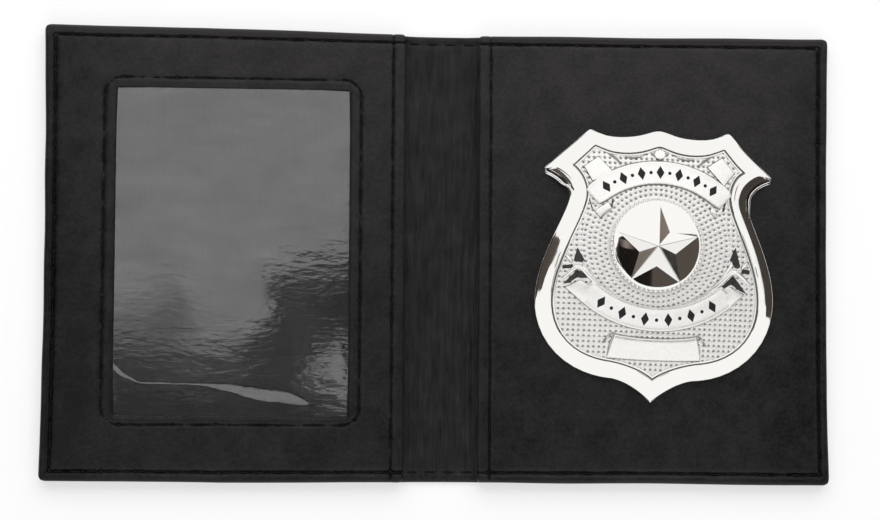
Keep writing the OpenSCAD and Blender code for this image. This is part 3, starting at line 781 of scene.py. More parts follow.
def panel_part(side, sizes, window):
    """A face panel: folded edges, puffed hems, seam valleys and needle holes."""
    x_marks = [INNER_X + e for e in (0.05, 0.18, 0.4, 0.65)]
    x_marks += [INNER_X + HEM_SEAM + m for m in SEAM_MARKS] + RIM_X_MARKS
    y_marks = [*RIM_Y_MARKS]
    plain_x = [INNER_X + 0.65, HALF_W - 0.03, HALF_W - 0.28, HALF_W - 0.5, HALF_W - 0.62]
    plain_y = [s * (HALF_H - e) for s in (-1, 1) for e in (0.03, 0.28, 0.5, 0.62)]
    if window:
        (cx, cy), (w, h) = WINDOW_MIDDLE, WINDOW_SIZE
        u0, u1, y0, y1 = -cx - w / 2, -cx + w / 2, cy - h / 2, cy + h / 2
        (sx, sy), (sw, sh) = WINDOW_SEAM_MIDDLE, WINDOW_SEAM_SIZE
        for e in (0, 0.06, 0.2, 0.45, 0.8, 1.3):
            x_marks += [u0 - e, u1 + e]
            y_marks += [y0 - e, y1 + e]
        x_marks += [-sx + s * sw / 2 + m for s in (-1, 1) for m in SEAM_MARKS]
        y_marks += [sy + s * sh / 2 + m for s in (-1, 1) for m in SEAM_MARKS]
        plain_x += [u0, u1]
        plain_y += [y0, y1]
        # A small crease in the lower rim
        x_marks += [RIM_CREASE_X + m for m in (-0.5, -0.25, 0, 0.25, 0.5)]
    xs = grid_lines(INNER_X, HALF_W, FINE_STEP, x_marks)
    ys = grid_lines(-HALF_H, HALF_H, FINE_STEP, y_marks)
    u, y = np.meshgrid(xs, ys, indexing="ij")
    rim = np.minimum(HALF_W - u, HALF_H - np.abs(y))
    hem = u - INNER_X
    z = np.full(u.shape, TOP_Z - 0.05)
    z += roll(rim, sizes.edge_roll) + pillow(rim, RIM_SEAM, sizes.hem_puff)
    z += roll(hem, 0.38) + pillow(hem, HEM_SEAM, sizes.hem_puff * 0.6)
    uneven = 1 + 0.3 * waves(u, y, 81 + side, 7.0)
    sway = 0.07 * waves(u, y, 91 + side, 9.0)
    z += valley(rim - RIM_SEAM + sway, sizes.seam_depth * uneven, 0.42) + valley(rim - RIM_SEAM, 0.1, 1.0)
    z += valley(hem - HEM_SEAM + sway, sizes.seam_depth * uneven, 0.3)
    z -= 0.1 * np.exp(-np.maximum(rim - RIM_SEAM, 0) / 1.8) * (rim > RIM_SEAM)
    z += 0.035 * waves(u, y, 11 + side, 26.0) * smooth(rim, 0.5, 6)
    z += 0.05 * waves(u, y, 21 + side, 6.0) * np.exp(-((rim - 1.3) / 0.9) ** 2)
    holes = [(side * x, hy) for x, hy in holes_of(rim_rows(side)) + holes_of(hem_rows(side))]
    keep = None
    x_picks = coarse_picks(xs, PLAIN_STEP, plain_x)
    y_picks = coarse_picks(ys, PLAIN_STEP, plain_y)
    if window:
        e, seam = window_distance(u, y), seam_distance(u, y)
        z += roll(np.maximum(e, 0) * 0.55, 0.5) + pillow(e, 2.6, sizes.hem_puff * 0.4)
        z += valley(seam + sway, sizes.seam_depth * uneven, 0.36)
        holes += [(-x, hy) for x, hy in holes_of(window_rows())]
        crease = u - RIM_CREASE_X - 0.5 * np.sin((y + HALF_H) / RIM_SEAM * math.pi)
        z += valley(crease, 0.3, 0.22) * smooth(-y, HALF_H - 3.0, HALF_H - 2.2)
        mid_x = (xs[x_picks][1:] + xs[x_picks][:-1]) / 2
        mid_y = (ys[y_picks][1:] + ys[y_picks][:-1]) / 2
        keep = window_distance(mid_x[:, None], mid_y[None, :]) > 0
    press_holes(z, xs, ys, holes, sizes.hole_depth * 1.3, 0.46)
    fu, fy = (fill_window_corners(u, y) if window else (u, y))
    fy = fy + 0.1 * waves(u, 0 * y, 31 + side, 30.0, 5) * np.exp(-(HALF_H - np.abs(y)) / 2) * np.sign(y)
    fu = fu + 0.08 * waves(0 * u, y, 41 + side, 30.0, 5) * np.exp(-(HALF_W - u) / 2)
    for s in (-1, 1):
        fu, fy = round_corner(fu, fy, 1, s, CORNER_R, HALF_W - CORNER_R, HALF_H - CORNER_R)
        fu, fy = round_corner(fu, fy, -1, s, HEM_R, -(INNER_X + HEM_R), HALF_H - HEM_R)
    low = np.where(rim < 0.56, POCKET_Z + 0.02 - roll(rim, 0.42), PANEL_Z + 0.01)
    px, py = drawn(side * fu, fy)
    return sheet(px, py, z, low, x_picks, y_picks, keep)


def hem_part(side):
    """The edge turned under a panel on its three rim sides."""
    gap, corner_r = 0.66, 1.2
    xs = grid_lines(INNER_X, HALF_W - gap, 3.0, (HALF_W - TURN_W, HALF_W - gap - 0.2))
    ys = grid_lines(-HALF_H + gap, HALF_H - gap, 3.0, (-HALF_H + TURN_W, HALF_H - TURN_W))
    u, y = np.meshgrid(xs, ys, indexing="ij")
    mid_x, mid_y = (xs[1:] + xs[:-1]) / 2, (ys[1:] + ys[:-1]) / 2
    keep = (mid_x[:, None] > HALF_W - TURN_W) | (np.abs(mid_y)[None, :] > HALF_H - TURN_W)
    top = np.full(u.shape, PANEL_Z - 0.03) + 0.015 * waves(u, y, 51 + side, 9.0)
    low = np.full(u.shape, POCKET_Z + 0.02)
    fu, fy = u, y
    for s in (-1, 1):
        fu, fy = round_corner(fu, fy, 1, s, corner_r, HALF_W - gap - corner_r, HALF_H - gap - corner_r)
    px, py = drawn(side * fu, fy)
    return sheet(px, py, top, low, keep=keep)


def spine_dip(u, y):
    """The spine's ends draw in a little between the two stiff halves."""
    share = np.where(y > 0, 0.0034, 0.001)
    return y * (1 - share * (1 - smooth(u, 5.0, 10.5)) * smooth(np.abs(y), 40, 57))


def cover_part(side, sizes):
    """The cover leather from the middle of the spine to the rim, and its turned edge."""
    turned = (HALF_W - TURN_W, HALF_W - TURN_W - 0.15)
    x_marks = [*BEND_LINES, *RIM_X_MARKS, *STEP_MARKS, *turned]
    y_marks = RIM_Y_MARKS + [s * (HALF_H - TURN_W - e) for s in (-1, 1) for e in (0, 0.15)]
    xs = grid_lines(0, HALF_W, FINE_STEP, x_marks)
    ys = grid_lines(-HALF_H, HALF_H, FINE_STEP, y_marks)
    u, y = np.meshgrid(xs, ys, indexing="ij")
    rim = np.minimum(HALF_W - u, HALF_H - np.abs(y))
    thick = np.where(u < STEP_X, COVER_Z, LINING_Z)
    r = 0.38 + 0.3 * smooth(u, 9.5, 12.5)
    back = -roll(rim, r) + 0.03 + 0.02 * waves(u, y, 61 + side, 22.0)
    back -= valley(rim - RIM_SEAM, sizes.seam_depth * 0.8, 0.5)
    back += pillow(rim - RIM_SEAM - 0.4, 4.5, 0.03)
    back += 0.05 * np.exp(-((rim - TURN_W - 0.3) / 0.5) ** 2) * smooth(u, 11, 14)
    back += 0.035 * np.exp(-((u - CREASE_X) / 0.5) ** 2) * (1 + 0.4 * waves(u, y, 71, 9.0))
    back = np.maximum(back, 0)
    holes = [(side * x, hy) for x, hy in holes_of(rim_rows(side))]
    holes += [(side * x, hy) for x, hy in holes_of(spine_rows()) if side * x > -0.1]
    press_holes(back, xs, ys, holes, -sizes.hole_depth, 0.42)
    inner = thick + roll(rim, np.minimum(r, 0.42))
    recess = (rim > TURN_W + 0.1) & (u > STEP_X)
    inner = np.where(recess, COVER_Z, inner)
    fy = spine_dip(u, y)
    fu = u
    for s in (-1, 1):
        fu, fy = round_corner(fu, fy, 1, s, CORNER_R, HALF_W - CORNER_R, HALF_H - CORNER_R)
    x_picks = coarse_picks(xs, COVER_PLAIN_STEP, [*BEND_LINES, *turned, *STEP_MARKS,
                                                  *(HALF_W - e for e in (0.12, 0.5))])
    y_picks = coarse_picks(ys, COVER_PLAIN_STEP, [s * (HALF_H - e) for s in (-1, 1)
                                                  for e in (0.12, 0.5, TURN_W, TURN_W + 0.15)])
    px, py = drawn(side * fu, fy)
    return sheet(px, py, back, inner, x_picks, y_picks)


def wrinkles(u, y, height, seed):
    """Upright wrinkles in the spine strip, deeper towards its lower end."""
    rng = np.random.default_rng(seed)
    total = np.zeros(u.shape)
    for _ in range(64):
        at, wide = rng.uniform(-9, 9), rng.uniform(0.16, 0.5)
        middle, reach = rng.uniform(-60, 60), rng.uniform(8, 34)
        sway = 0.5 * np.sin(y / rng.uniform(7, 20) + rng.uniform(0, 6))
        total += rng.uniform(-1, 0.7) * np.exp(-((u - at - sway) / wide) ** 2
                                               - ((y - middle) / reach) ** 2)
    for at, wide in ((-6.3, 0.3), (-4.6, 0.22), (-3.2, 0.3), (-1.5, 0.2), (0.3, 0.26), (2.3, 0.3)):
        total -= 1.5 * np.exp(-((u - at - 0.02 * (y + 50)) / wide) ** 2) * smooth(-y, 44, 53)
    return height * total * (0.6 + 0.6 * smooth(-y, -20, 50))


def lining_part(side, sizes):
    """The lining from the middle of the spine to under the rim seam."""
    edge_x, edge_y, rise_end = HALF_W - 0.35, HALF_H - 0.35, BOARD_X + 0.4
    x_marks = np.arange(0.2, 12.3, 0.2)
    y_marks = [s * (edge_y - e) for s in (-1, 1) for e in (0.06, 0.2, 0.4, 1.0, 1.7, 2.25, 2.8)]
    xs = grid_lines(0, edge_x, 3.0, x_marks)
    ys = grid_lines(-edge_y, edge_y, 0.9, y_marks)
    u, y = np.meshgrid(xs, ys, indexing="ij")
    end = edge_y - np.abs(y)
    step = smooth(u, CREASE_X + 0.15, rise_end)
    top = SPINE_Z + (POCKET_Z - SPINE_Z) * step
    spine = 1 - smooth(u, CREASE_X - 0.5, CREASE_X + 0.6)
    top = top - 0.02 + wrinkles(side * u, y, sizes.wrinkle, 5) * spine
    top += spine * (roll(end, 0.3) + pillow(end, RIM_SEAM, 0.1)
                    + valley(end - RIM_SEAM + 0.35, 0.34, 0.4))
    holes = [(side * x, hy) for x, hy in holes_of(spine_rows()) if side * x > -0.1]
    press_holes(top, xs, ys, holes, sizes.hole_depth * 0.5, 0.42)
    low = COVER_Z + (LINING_Z - COVER_Z) * step + 0.01
    top = np.maximum(top, low + 0.12)
    fy = spine_dip(u, y)
    x_picks = coarse_picks(xs, PLAIN_STEP, [*BEND_LINES, CREASE_X, rise_end])
    y_picks = coarse_picks(ys, PLAIN_STEP)
    px, py = drawn(side * u, fy)
    return sheet(px, py, top, low, x_picks, y_picks)


# A soft step in the film above the window's lower edge: places along the edge, the
# step's height there and half its width
FILM_STEP = ((-84, -26.5, 0.4), (-79.5, -30.6, 0.35), (-75.5, -32.6, 0.3), (-60, -33.0, 0.4),
             (-53, -33.8, 1.3), (-46, -35.3, 2.2), (-38, -36.4, 2.1), (-33, -37.6, 0.6))


def film_part(sizes):
    """The clear film, waved where it is free and drawn flat where it is sewn."""
    low, high = FILM_LOW, FILM_HIGH
    xs = grid_lines(low[0], high[0], 0.5)
    ys = grid_lines(low[1], high[1], 0.4, np.arange(-39.0, -26.0, 0.15))
    x, y = np.meshgrid(xs, ys, indexing="ij")
    free = smooth(-window_distance(-x, y), -1.0, 4.0)
    rise = sizes.film_ripple * (0.3 * waves(x, y, 301, 34.0) + 0.1 * waves(x, y, 302, 13.0))
    # The step lies lower all the way down to the seam
    places, heights, widths = zip(*FILM_STEP)
    line, wide = np.interp(x, places, heights), np.interp(x, places, widths)
    step = 0.09 * wide * (1 - smooth((y - line) / wide, -1, 1)) * (1 - smooth(x, -35.5, -31.0))
    z = high[2] - 0.06 + free * rise - step
    bottom = z - (high[2] - low[2]) + 0.06
    return sheet(x, y, np.minimum(z, PANEL_Z + 0.2), bottom)


# Badge

# Order of the shield's materials on its mesh. The third and fourth are painted shade: darker metal in the
# pits, the rim's inner groove and at the foot of raised parts, and near-black in the lip's groove and the
# folds
RIM, GROUND, HOLLOW_SHADE, DEEP_SHADE, SATIN = range(5)

# Small differences of the outline's two halves: place, shift and reach
OUTLINE_SHIFTS = (
    (-8.3, 27.3, 0.0, 0.5, 4.5), (0.0, 29.2, 0.0, 0.3, 3.5), (8.8, 27.3, 0.0, 0.55, 4.5),
    (17.6, 29.5, 0.65, 0.35, 5.0), (29.1, 18.9, 0.55, -0.2, 6.0),
)


def eased(steps):
    """Shares from 0 towards 1 that lie closer together at both ends."""
    return (1 - np.cos(np.arange(steps) / steps * math.pi)) / 2


def outline(inset, steps):
    """The shield's outline, set in by so many millimetres, as a closed run of points."""
    t = eased(steps)
    weights = np.stack([(1 - t) ** 3, 3 * (1 - t) ** 2 * t, 3 * (1 - t) * t * t, t**3], 1)
    corners = [steps, 2 * steps]
    lines = []
    for d in (0, 1):
        half = [weights @ [(cx * BADGE_W + dx * d, cy * BADGE_H + dy * d) for cx, cy, dx, dy in curve]
                for curve in OUTLINE]
        last = OUTLINE[-1][-1]
        half = np.concatenate([*half, [[last[0] * BADGE_W + last[2] * d, last[1] * BADGE_H + last[3] * d]]])
        for corner, reach in zip(corners, (3, 2)):
            near = slice(corner - reach, corner + reach + 1)
            for _ in range(4):
                run = half[corner - reach - 1:corner + reach + 2]
                half[near] = (run[:-2] + 2 * run[1:-1] + run[2:]) / 4
        p = np.concatenate([half, half[-2:0:-1] * (-1, 1)])
        moved = p.copy()
        for x, y, dx, dy, reach in OUTLINE_SHIFTS:
            share = np.exp(-((p[:, 0] - x) ** 2 + (p[:, 1] - y) ** 2) / reach**2)
            moved += share[:, None] * (dx, dy)
        lines.append(moved)
    return lines[0] + (lines[1] - lines[0]) * inset


def dome(x, y, sink=0.0):
    """Height of the shield's face above the panel."""
    r = DOME_R - sink
    return CROWN - DOME_R + np.sqrt(r * r - x * x - (y + DOME_DROP) ** 2)


def medal(x, y):
    """Height of the medallion's face above the panel."""
    return (CROWN + MEDAL_RISE - MEDAL_DOME_R
            + np.sqrt(MEDAL_DOME_R**2 - (x - MEDAL_X) ** 2 - (y - MEDAL_Y) ** 2))


def on_panel(part):
    """Moves a part of the badge from its own axes to its place on the panel."""
    points, faces = part
    a = math.radians(-BADGE_TURN)
    p = np.asarray(points, float)
    turned = np.stack([p[:, 0] * math.cos(a) - p[:, 1] * math.sin(a) + BADGE_X,
                       p[:, 0] * math.sin(a) + p[:, 1] * math.cos(a) + BADGE_Y,
                       p[:, 2] + TOP_Z], 1)
    return turned, faces


# The rim's cross-section from its foot over the face to the ground: inset from the
# outline, then height over the dome. Under the wings it starts with a lip instead.
RIM_PLAIN = ((0.0, -1.15), (0.02, -0.9), (0.06, -0.74), (0.13, -0.62), (0.22, -0.545), (0.34, -0.5),
             (0.5, -0.455), (0.68, -0.415), (0.86, -0.376), (1.04, -0.337), (1.2, -0.302), (1.32, -0.275),
             (1.45, -0.247))
RIM_LIPPED = ((-1.2, -1.2), (-1.16, -0.98), (-1.06, -0.82), (-0.88, -0.72), (-0.64, -0.67),
              (-0.46, -0.7), (-0.36, -0.84), (-0.24, -0.96), (-0.02, -0.9), (0.1, -0.62), (0.18, -0.42),
              (0.32, -0.36), (1.45, -0.25))
RIM_FACE = ((1.7, -0.192), (1.86, -0.16), (2.0, -0.142), (2.14, -0.132), (2.5, -0.116), (3.2, -0.086),
            (3.9, -0.06), (4.08, -0.075), (4.18, -0.16), (4.25, -0.4), (4.36, -0.52), (4.46, -0.5),
            (4.55, -0.4), (4.7, -0.36), (4.92, -0.38), (5.02, -0.5), (5.12, -0.8))
RIM_UNDER = ((5.12, -1.4), (1.4, -1.4))
# Insets between which the rim's faces are given painted shade: the lip's groove and the inner groove
LIP_GROOVE, INNER_GROOVE = (-0.46, 0.17), (4.2, 4.52)


def lip_share(steps):
    """How much of a lip the rim has at each point of the outline: it lies under the wings."""
    t = eased(steps)
    none = 0 * t
    right = np.concatenate([none, none, smooth(t, 0, 0.08), 1 - smooth(t, 0.04, 0.26), none, none, [0]])
    left = np.concatenate([none, none, smooth(t, 0, 0.08) - smooth(t, 0.55, 0.88), none, none, none, [0]])
    return np.concatenate([right, left[-2:0:-1]])


def rim_part(steps):
    """The rim, and each face's material: the rim's own, or painted shade in its grooves."""
    foot = outline(0.0, steps)
    inwards, share = outline(1.0, steps) - foot, lip_share(steps)
    along = np.roll(foot, -1, 0) - np.roll(foot, 1, 0)
    outwards = np.column_stack([-along[:, 1], along[:, 0]]) / np.hypot(*along.T)[:, None]
    plain, lipped = np.array(RIM_PLAIN + RIM_FACE), np.array(RIM_LIPPED + RIM_FACE)
    rings, insets = [], []
    for (d0, z0), (d1, z1) in zip(plain, lipped):
        inset, rise = d0 + (d1 - d0) * share, z0 + (z1 - z0) * share
        p = (foot + inwards * np.maximum(inset, 0)[:, None]
             + outwards * np.maximum(-inset, 0)[:, None])
        z = np.maximum(dome(p[:, 0], p[:, 1]) + rise, 0.12 + (d0 - d1 + inset) * 0.02)
        rings.append(np.column_stack([p, z]))
        insets.append(d1)
    for inset, rise in RIM_UNDER:
        p = foot + inwards * inset
        rings.append(np.column_stack([p, np.maximum(dome(p[:, 0], p[:, 1]) + rise, 0.02)]))
    for inset in (1.4, 0.25, 0.04):
        p = foot + inwards * inset + outwards * (1.2 * share * (1.4 - inset) / 1.36)[:, None]
        rings.append(np.column_stack([p, np.full(len(p), -0.06 if inset > 0.1 else 0.05)]))
    n, faces, marks = len(foot), [], []
    for k in range(len(rings)):
        a, b = k * n, ((k + 1) % len(rings)) * n
        faces += [[a + i, a + (i + 1) % n, b + (i + 1) % n, b + i] for i in range(n)]
        middle = (insets[k] + insets[k + 1]) / 2 if k + 1 < len(insets) else 0
        # Painted shade: the darker pit metal in the inner groove, near-black in the lip's groove under the
        # wings
        groove_shade = HOLLOW_SHADE if INNER_GROOVE[0] < middle < INNER_GROOVE[1] else RIM
        lip_shade = (LIP_GROOVE[0] < middle < LIP_GROOVE[1]) & (share > 0.3)
        marks += [DEEP_SHADE if hit else groove_shade for hit in lip_shade]
    return (np.concatenate(rings), faces), marks


def inside_outline(x, y, inset):
    """Which points lie inside the outline set in by so many millimetres."""
    p = outline(inset, 10)
    q = np.roll(p, -1, 0)
    hit = np.zeros(x.shape, bool)
    for (x0, y0), (x1, y1) in zip(p, q):
        if y0 == y1:
            continue
        crosses = (y0 > y) != (y1 > y)
        hit ^= crosses & (x < (x1 - x0) * (y - y0) / (y1 - y0) + x0)
    return hit


def pits(x, y):
    """How far each point of the ground is punched in, from 0 to 1: rings of pits round
    the medallion and rows elsewhere."""
    pitch, first, rings, spread = 1.33, MEDAL_R + 1.55, 5, 0.36
    x0, y0 = x - MEDAL_X, y - MEDAL_Y
    r, turn = np.hypot(x0, y0), np.arctan2(y0, x0)
    ring = np.clip(np.round((r - first) / pitch), 0, rings - 1)
    at = first + ring * pitch
    count = np.round(math.tau * at / pitch)
    gap = (turn / math.tau * count + 0.5 * (ring % 2)) % 1 - 0.5
    round_rows = (r - at) ** 2 + (gap * math.tau * at / count) ** 2
    rows = (((x / pitch) % 1 - 0.5) ** 2 + ((y / pitch) % 1 - 0.5) ** 2) * pitch**2
    return np.exp(-np.where(r < first + (rings - 0.5) * pitch, round_rows, rows) / spread**2)


def face_middles(points, faces):
    """Middle of the first four corners of each face."""
    return np.array([points[f[:4]].mean(0) for f in faces])


def ground_part(sizes):
    """The sunk ground of the shield with its pits, as one closed sheet, and each face's material: painted
    shade in the pits.
    """
    step, share = 0.16, 5
    xs = np.arange(-170, 171) * step
    ys = np.arange(-235, 181) * step
    x, y = np.meshgrid(xs, ys, indexing="ij")
    cx, cy = np.arange(0, len(xs), share), np.arange(0, len(ys), share)
    corner = inside_outline(x[np.ix_(cx, cy)], y[np.ix_(cx, cy)], 4.95)
    keep = corner[1:, 1:] | corner[:-1, 1:] | corner[1:, :-1] | corner[:-1, :-1]
    top = dome(x, y) - FIELD_DEPTH - sizes.pit * pits(x, y)
    low = np.maximum(dome(x, y) - 1.3, 0.02)
    nx, ny = cx[-1] + 1, cy[-1] + 1
    points, faces = slab(np.stack([x, y, top], -1)[:nx, :ny], np.stack([x, y, low], -1)[:nx, :ny],
                         cx, cy, keep)
    middles = face_middles(points, faces)
    # Painted shade: faces deep in the pits get the darker pit metal
    deep = pits(middles[:, 0], middles[:, 1]) > 0.45
    return (points, faces), [HOLLOW_SHADE if d else GROUND for d in deep]


def worked(part, material):
    """A raised part of the shield; where it is satin, its low edges get the darker pit metal as painted
    shade at its foot.
    """
    points, faces = part
    middles = face_middles(points, faces)
    low = middles[:, 2] < dome(middles[:, 0], middles[:, 1]) - 0.33
    return part, [HOLLOW_SHADE if hit and material == SATIN else material for hit in low]


# A ribbon's cross-section: share of its half width, then height over the dome
ACROSS = np.array([-1.09, -1.08, -1, -0.985, -0.94, -0.86, -0.78, -0.7, -0.4, 0, 0.4, 0.7, 0.78, 0.86, 0.94,
                   0.985, 1, 1.08, 1.09])
ACROSS_RISE = np.array([-0.75, -0.57, -0.53, -0.2, 0.0, 0.04, 0.01, -0.02, -0.02, -0.01, -0.02, -0.02, 0.01,
                        0.04, 0.0, -0.2, -0.53, -0.57, -0.75])


def ribbon_part(centre_y, radius, reach, up, lean=0.0, width=RIBBON_W):
    """A curved ribbon with a raised line along each edge and rounded ends. Its outer edge
    leans down by so many millimetres."""
    turns = np.radians(np.concatenate([[-reach, -reach + 0.15, -reach + 0.5, -reach + 1.2],
                                       np.linspace(-reach + 2.5, reach - 2.5, 64),
                                       [reach - 1.2, reach - 0.5, reach - 0.15, reach]]))
    a, v = np.meshgrid(turns, ACROSS, indexing="ij")
    far = (math.radians(reach) - np.abs(a)) * radius
    r = radius + v * width / 2 * (1 - 0.25 * np.exp(-far / 0.8))
    x, y = r * np.sin(a), centre_y + up * r * np.cos(a)
    rise = np.interp(v, ACROSS, ACROSS_RISE) - lean * np.clip(v, -1, 1)
    rise = np.minimum(rise, np.interp(far, [0, 0.1, 0.3, 0.7], [-0.75, -0.2, 0.02, 0.3]))
    return sheet(x, y, dome(x, y) + rise, dome(x, y) - 0.95)


def plate_part():
    """The blank name plate with a hollow upper edge and a sunk line round it, which the shield darkens as
    painted shade.
    """
    s, t = np.meshgrid(np.array([-1.02, -1.015, -1, -0.99, -0.965, -0.92, *np.linspace(-0.85, 0.85, 25),
                                 0.92, 0.965, 0.99, 1, 1.015, 1.02]),
                       np.array([-0.04, -0.03, 0, 0.03, 0.09, 0.2, 0.5, 0.8, 0.91, 0.97, 1, 1.04, 1.05]),
                       indexing="ij")
    half = PLATE_W / 2 - PLATE_TAPER / 2 * t + 0.25 * np.sin(np.clip(t, 0, 1) * math.pi)
    x = s * half
    arch = np.clip(1 - s * s, 0, 1)
    y = PLATE_LOW + t * (PLATE_H - PLATE_DIP * arch**0.7) - 0.35 * arch * (1 - t)
    edge = np.minimum((1 - np.abs(s)) * PLATE_W / 2, np.minimum(t, 1 - t) * PLATE_H)
    rise = np.interp(edge, [-0.25, -0.2, 0, 0.12, 0.3, 0.55, 1.0, 2.4],
                     [-0.75, -0.57, -0.53, -0.2, 0.02, 0.04, 0.0, 0.04])
    lean = 0.05 * (t - 0.5) * PLATE_H
    return sheet(x, y, dome(x, y) + rise + lean, dome(x, y) - 0.95)


def stroke(path, width, height, tip=0.25):
    """A raised worked line on the shield's ground, thin at both ends."""
    path = np.array(path, float)
    far = np.concatenate([[0], np.cumsum(np.hypot(*np.diff(path, axis=0).T))])
    s = np.linspace(0, far[-1], max(8, int(far[-1] / 0.35)))
    line = np.stack([np.interp(s, far, path[:, 0]), np.interp(s, far, path[:, 1])], 1)
    for _ in range(3):
        line[1:-1] = (line[:-2] + 2 * line[1:-1] + line[2:]) / 4
    tangent = np.gradient(line, axis=0)
    tangent /= np.linalg.norm(tangent, axis=1)[:, None]
    normal = np.stack([-tangent[:, 1], tangent[:, 0]], 1)
    v = np.array([-1, -0.92, -0.6, 0, 0.6, 0.92, 1])
    taper = tip + (1 - tip) * np.sin(np.linspace(0, math.pi, len(s))) ** 0.6
    p = line[:, None] + normal[:, None] * (v[None, :, None] * taper[:, None, None] * width / 2)
    x, y = p[..., 0], p[..., 1]
    rise = np.sqrt(np.clip(1 - v * v, 0, 1))[None, :] * taper[:, None] * height
    return sheet(x, y, dome(x, y) - FIELD_DEPTH - 0.08 + rise, dome(x, y) - FIELD_DEPTH - 0.4)


def patch(corners, rise, bulge=0.0):
    """A raised patch with four corners, each corner's height given over the ground."""
    c = np.array(corners, float)
    h = np.array(rise, float)
    share = np.array([0, 0.04, 0.14, 0.35, 0.65, 0.86, 0.96, 1])
    s, t = np.meshgrid(share, share, indexing="ij")
    w = np.stack([(1 - s) * (1 - t), s * (1 - t), s * t, (1 - s) * t], -1)
    p, lift = w @ c, w @ h
    edge = np.minimum(np.minimum(s, 1 - s), np.minimum(t, 1 - t))
    lift = lift * np.interp(edge, [0, 0.04, 0.14], [0.0, 0.85, 1.0]) + bulge * 4 * np.sqrt(
        s * (1 - s) * t * (1 - t))
    x, y = p[..., 0], p[..., 1]
    return sheet(x, y, dome(x, y) - FIELD_DEPTH - 0.03 + lift, dome(x, y) - FIELD_DEPTH - 0.4)


def band(upper, lower, height):
    """A raised band between two lines that have as many points each."""
    share = np.array([0, 0.05, 0.16, 0.5, 0.84, 0.95, 1])
    rise = np.array([0, 0.7, 0.94, 1.0, 0.94, 0.7, 0])
    a, b = np.array(upper, float), np.array(lower, float)
    p = a[:, None] + (b - a)[:, None] * share[None, :, None]
    x, y = p[..., 0], p[..., 1]
    return sheet(x, y, dome(x, y) - FIELD_DEPTH - 0.06 + height * rise[None, :],
                 dome(x, y) - FIELD_DEPTH - 0.35)


def mirrored(points):
    """The same path on the badge's other side."""
    return [(-x, y) for x, y in points]


# The arc that bounds the ground round the medallion
CRESCENT_X, CRESCENT_Y, CRESCENT_R = -0.3, 5.5, 21.0


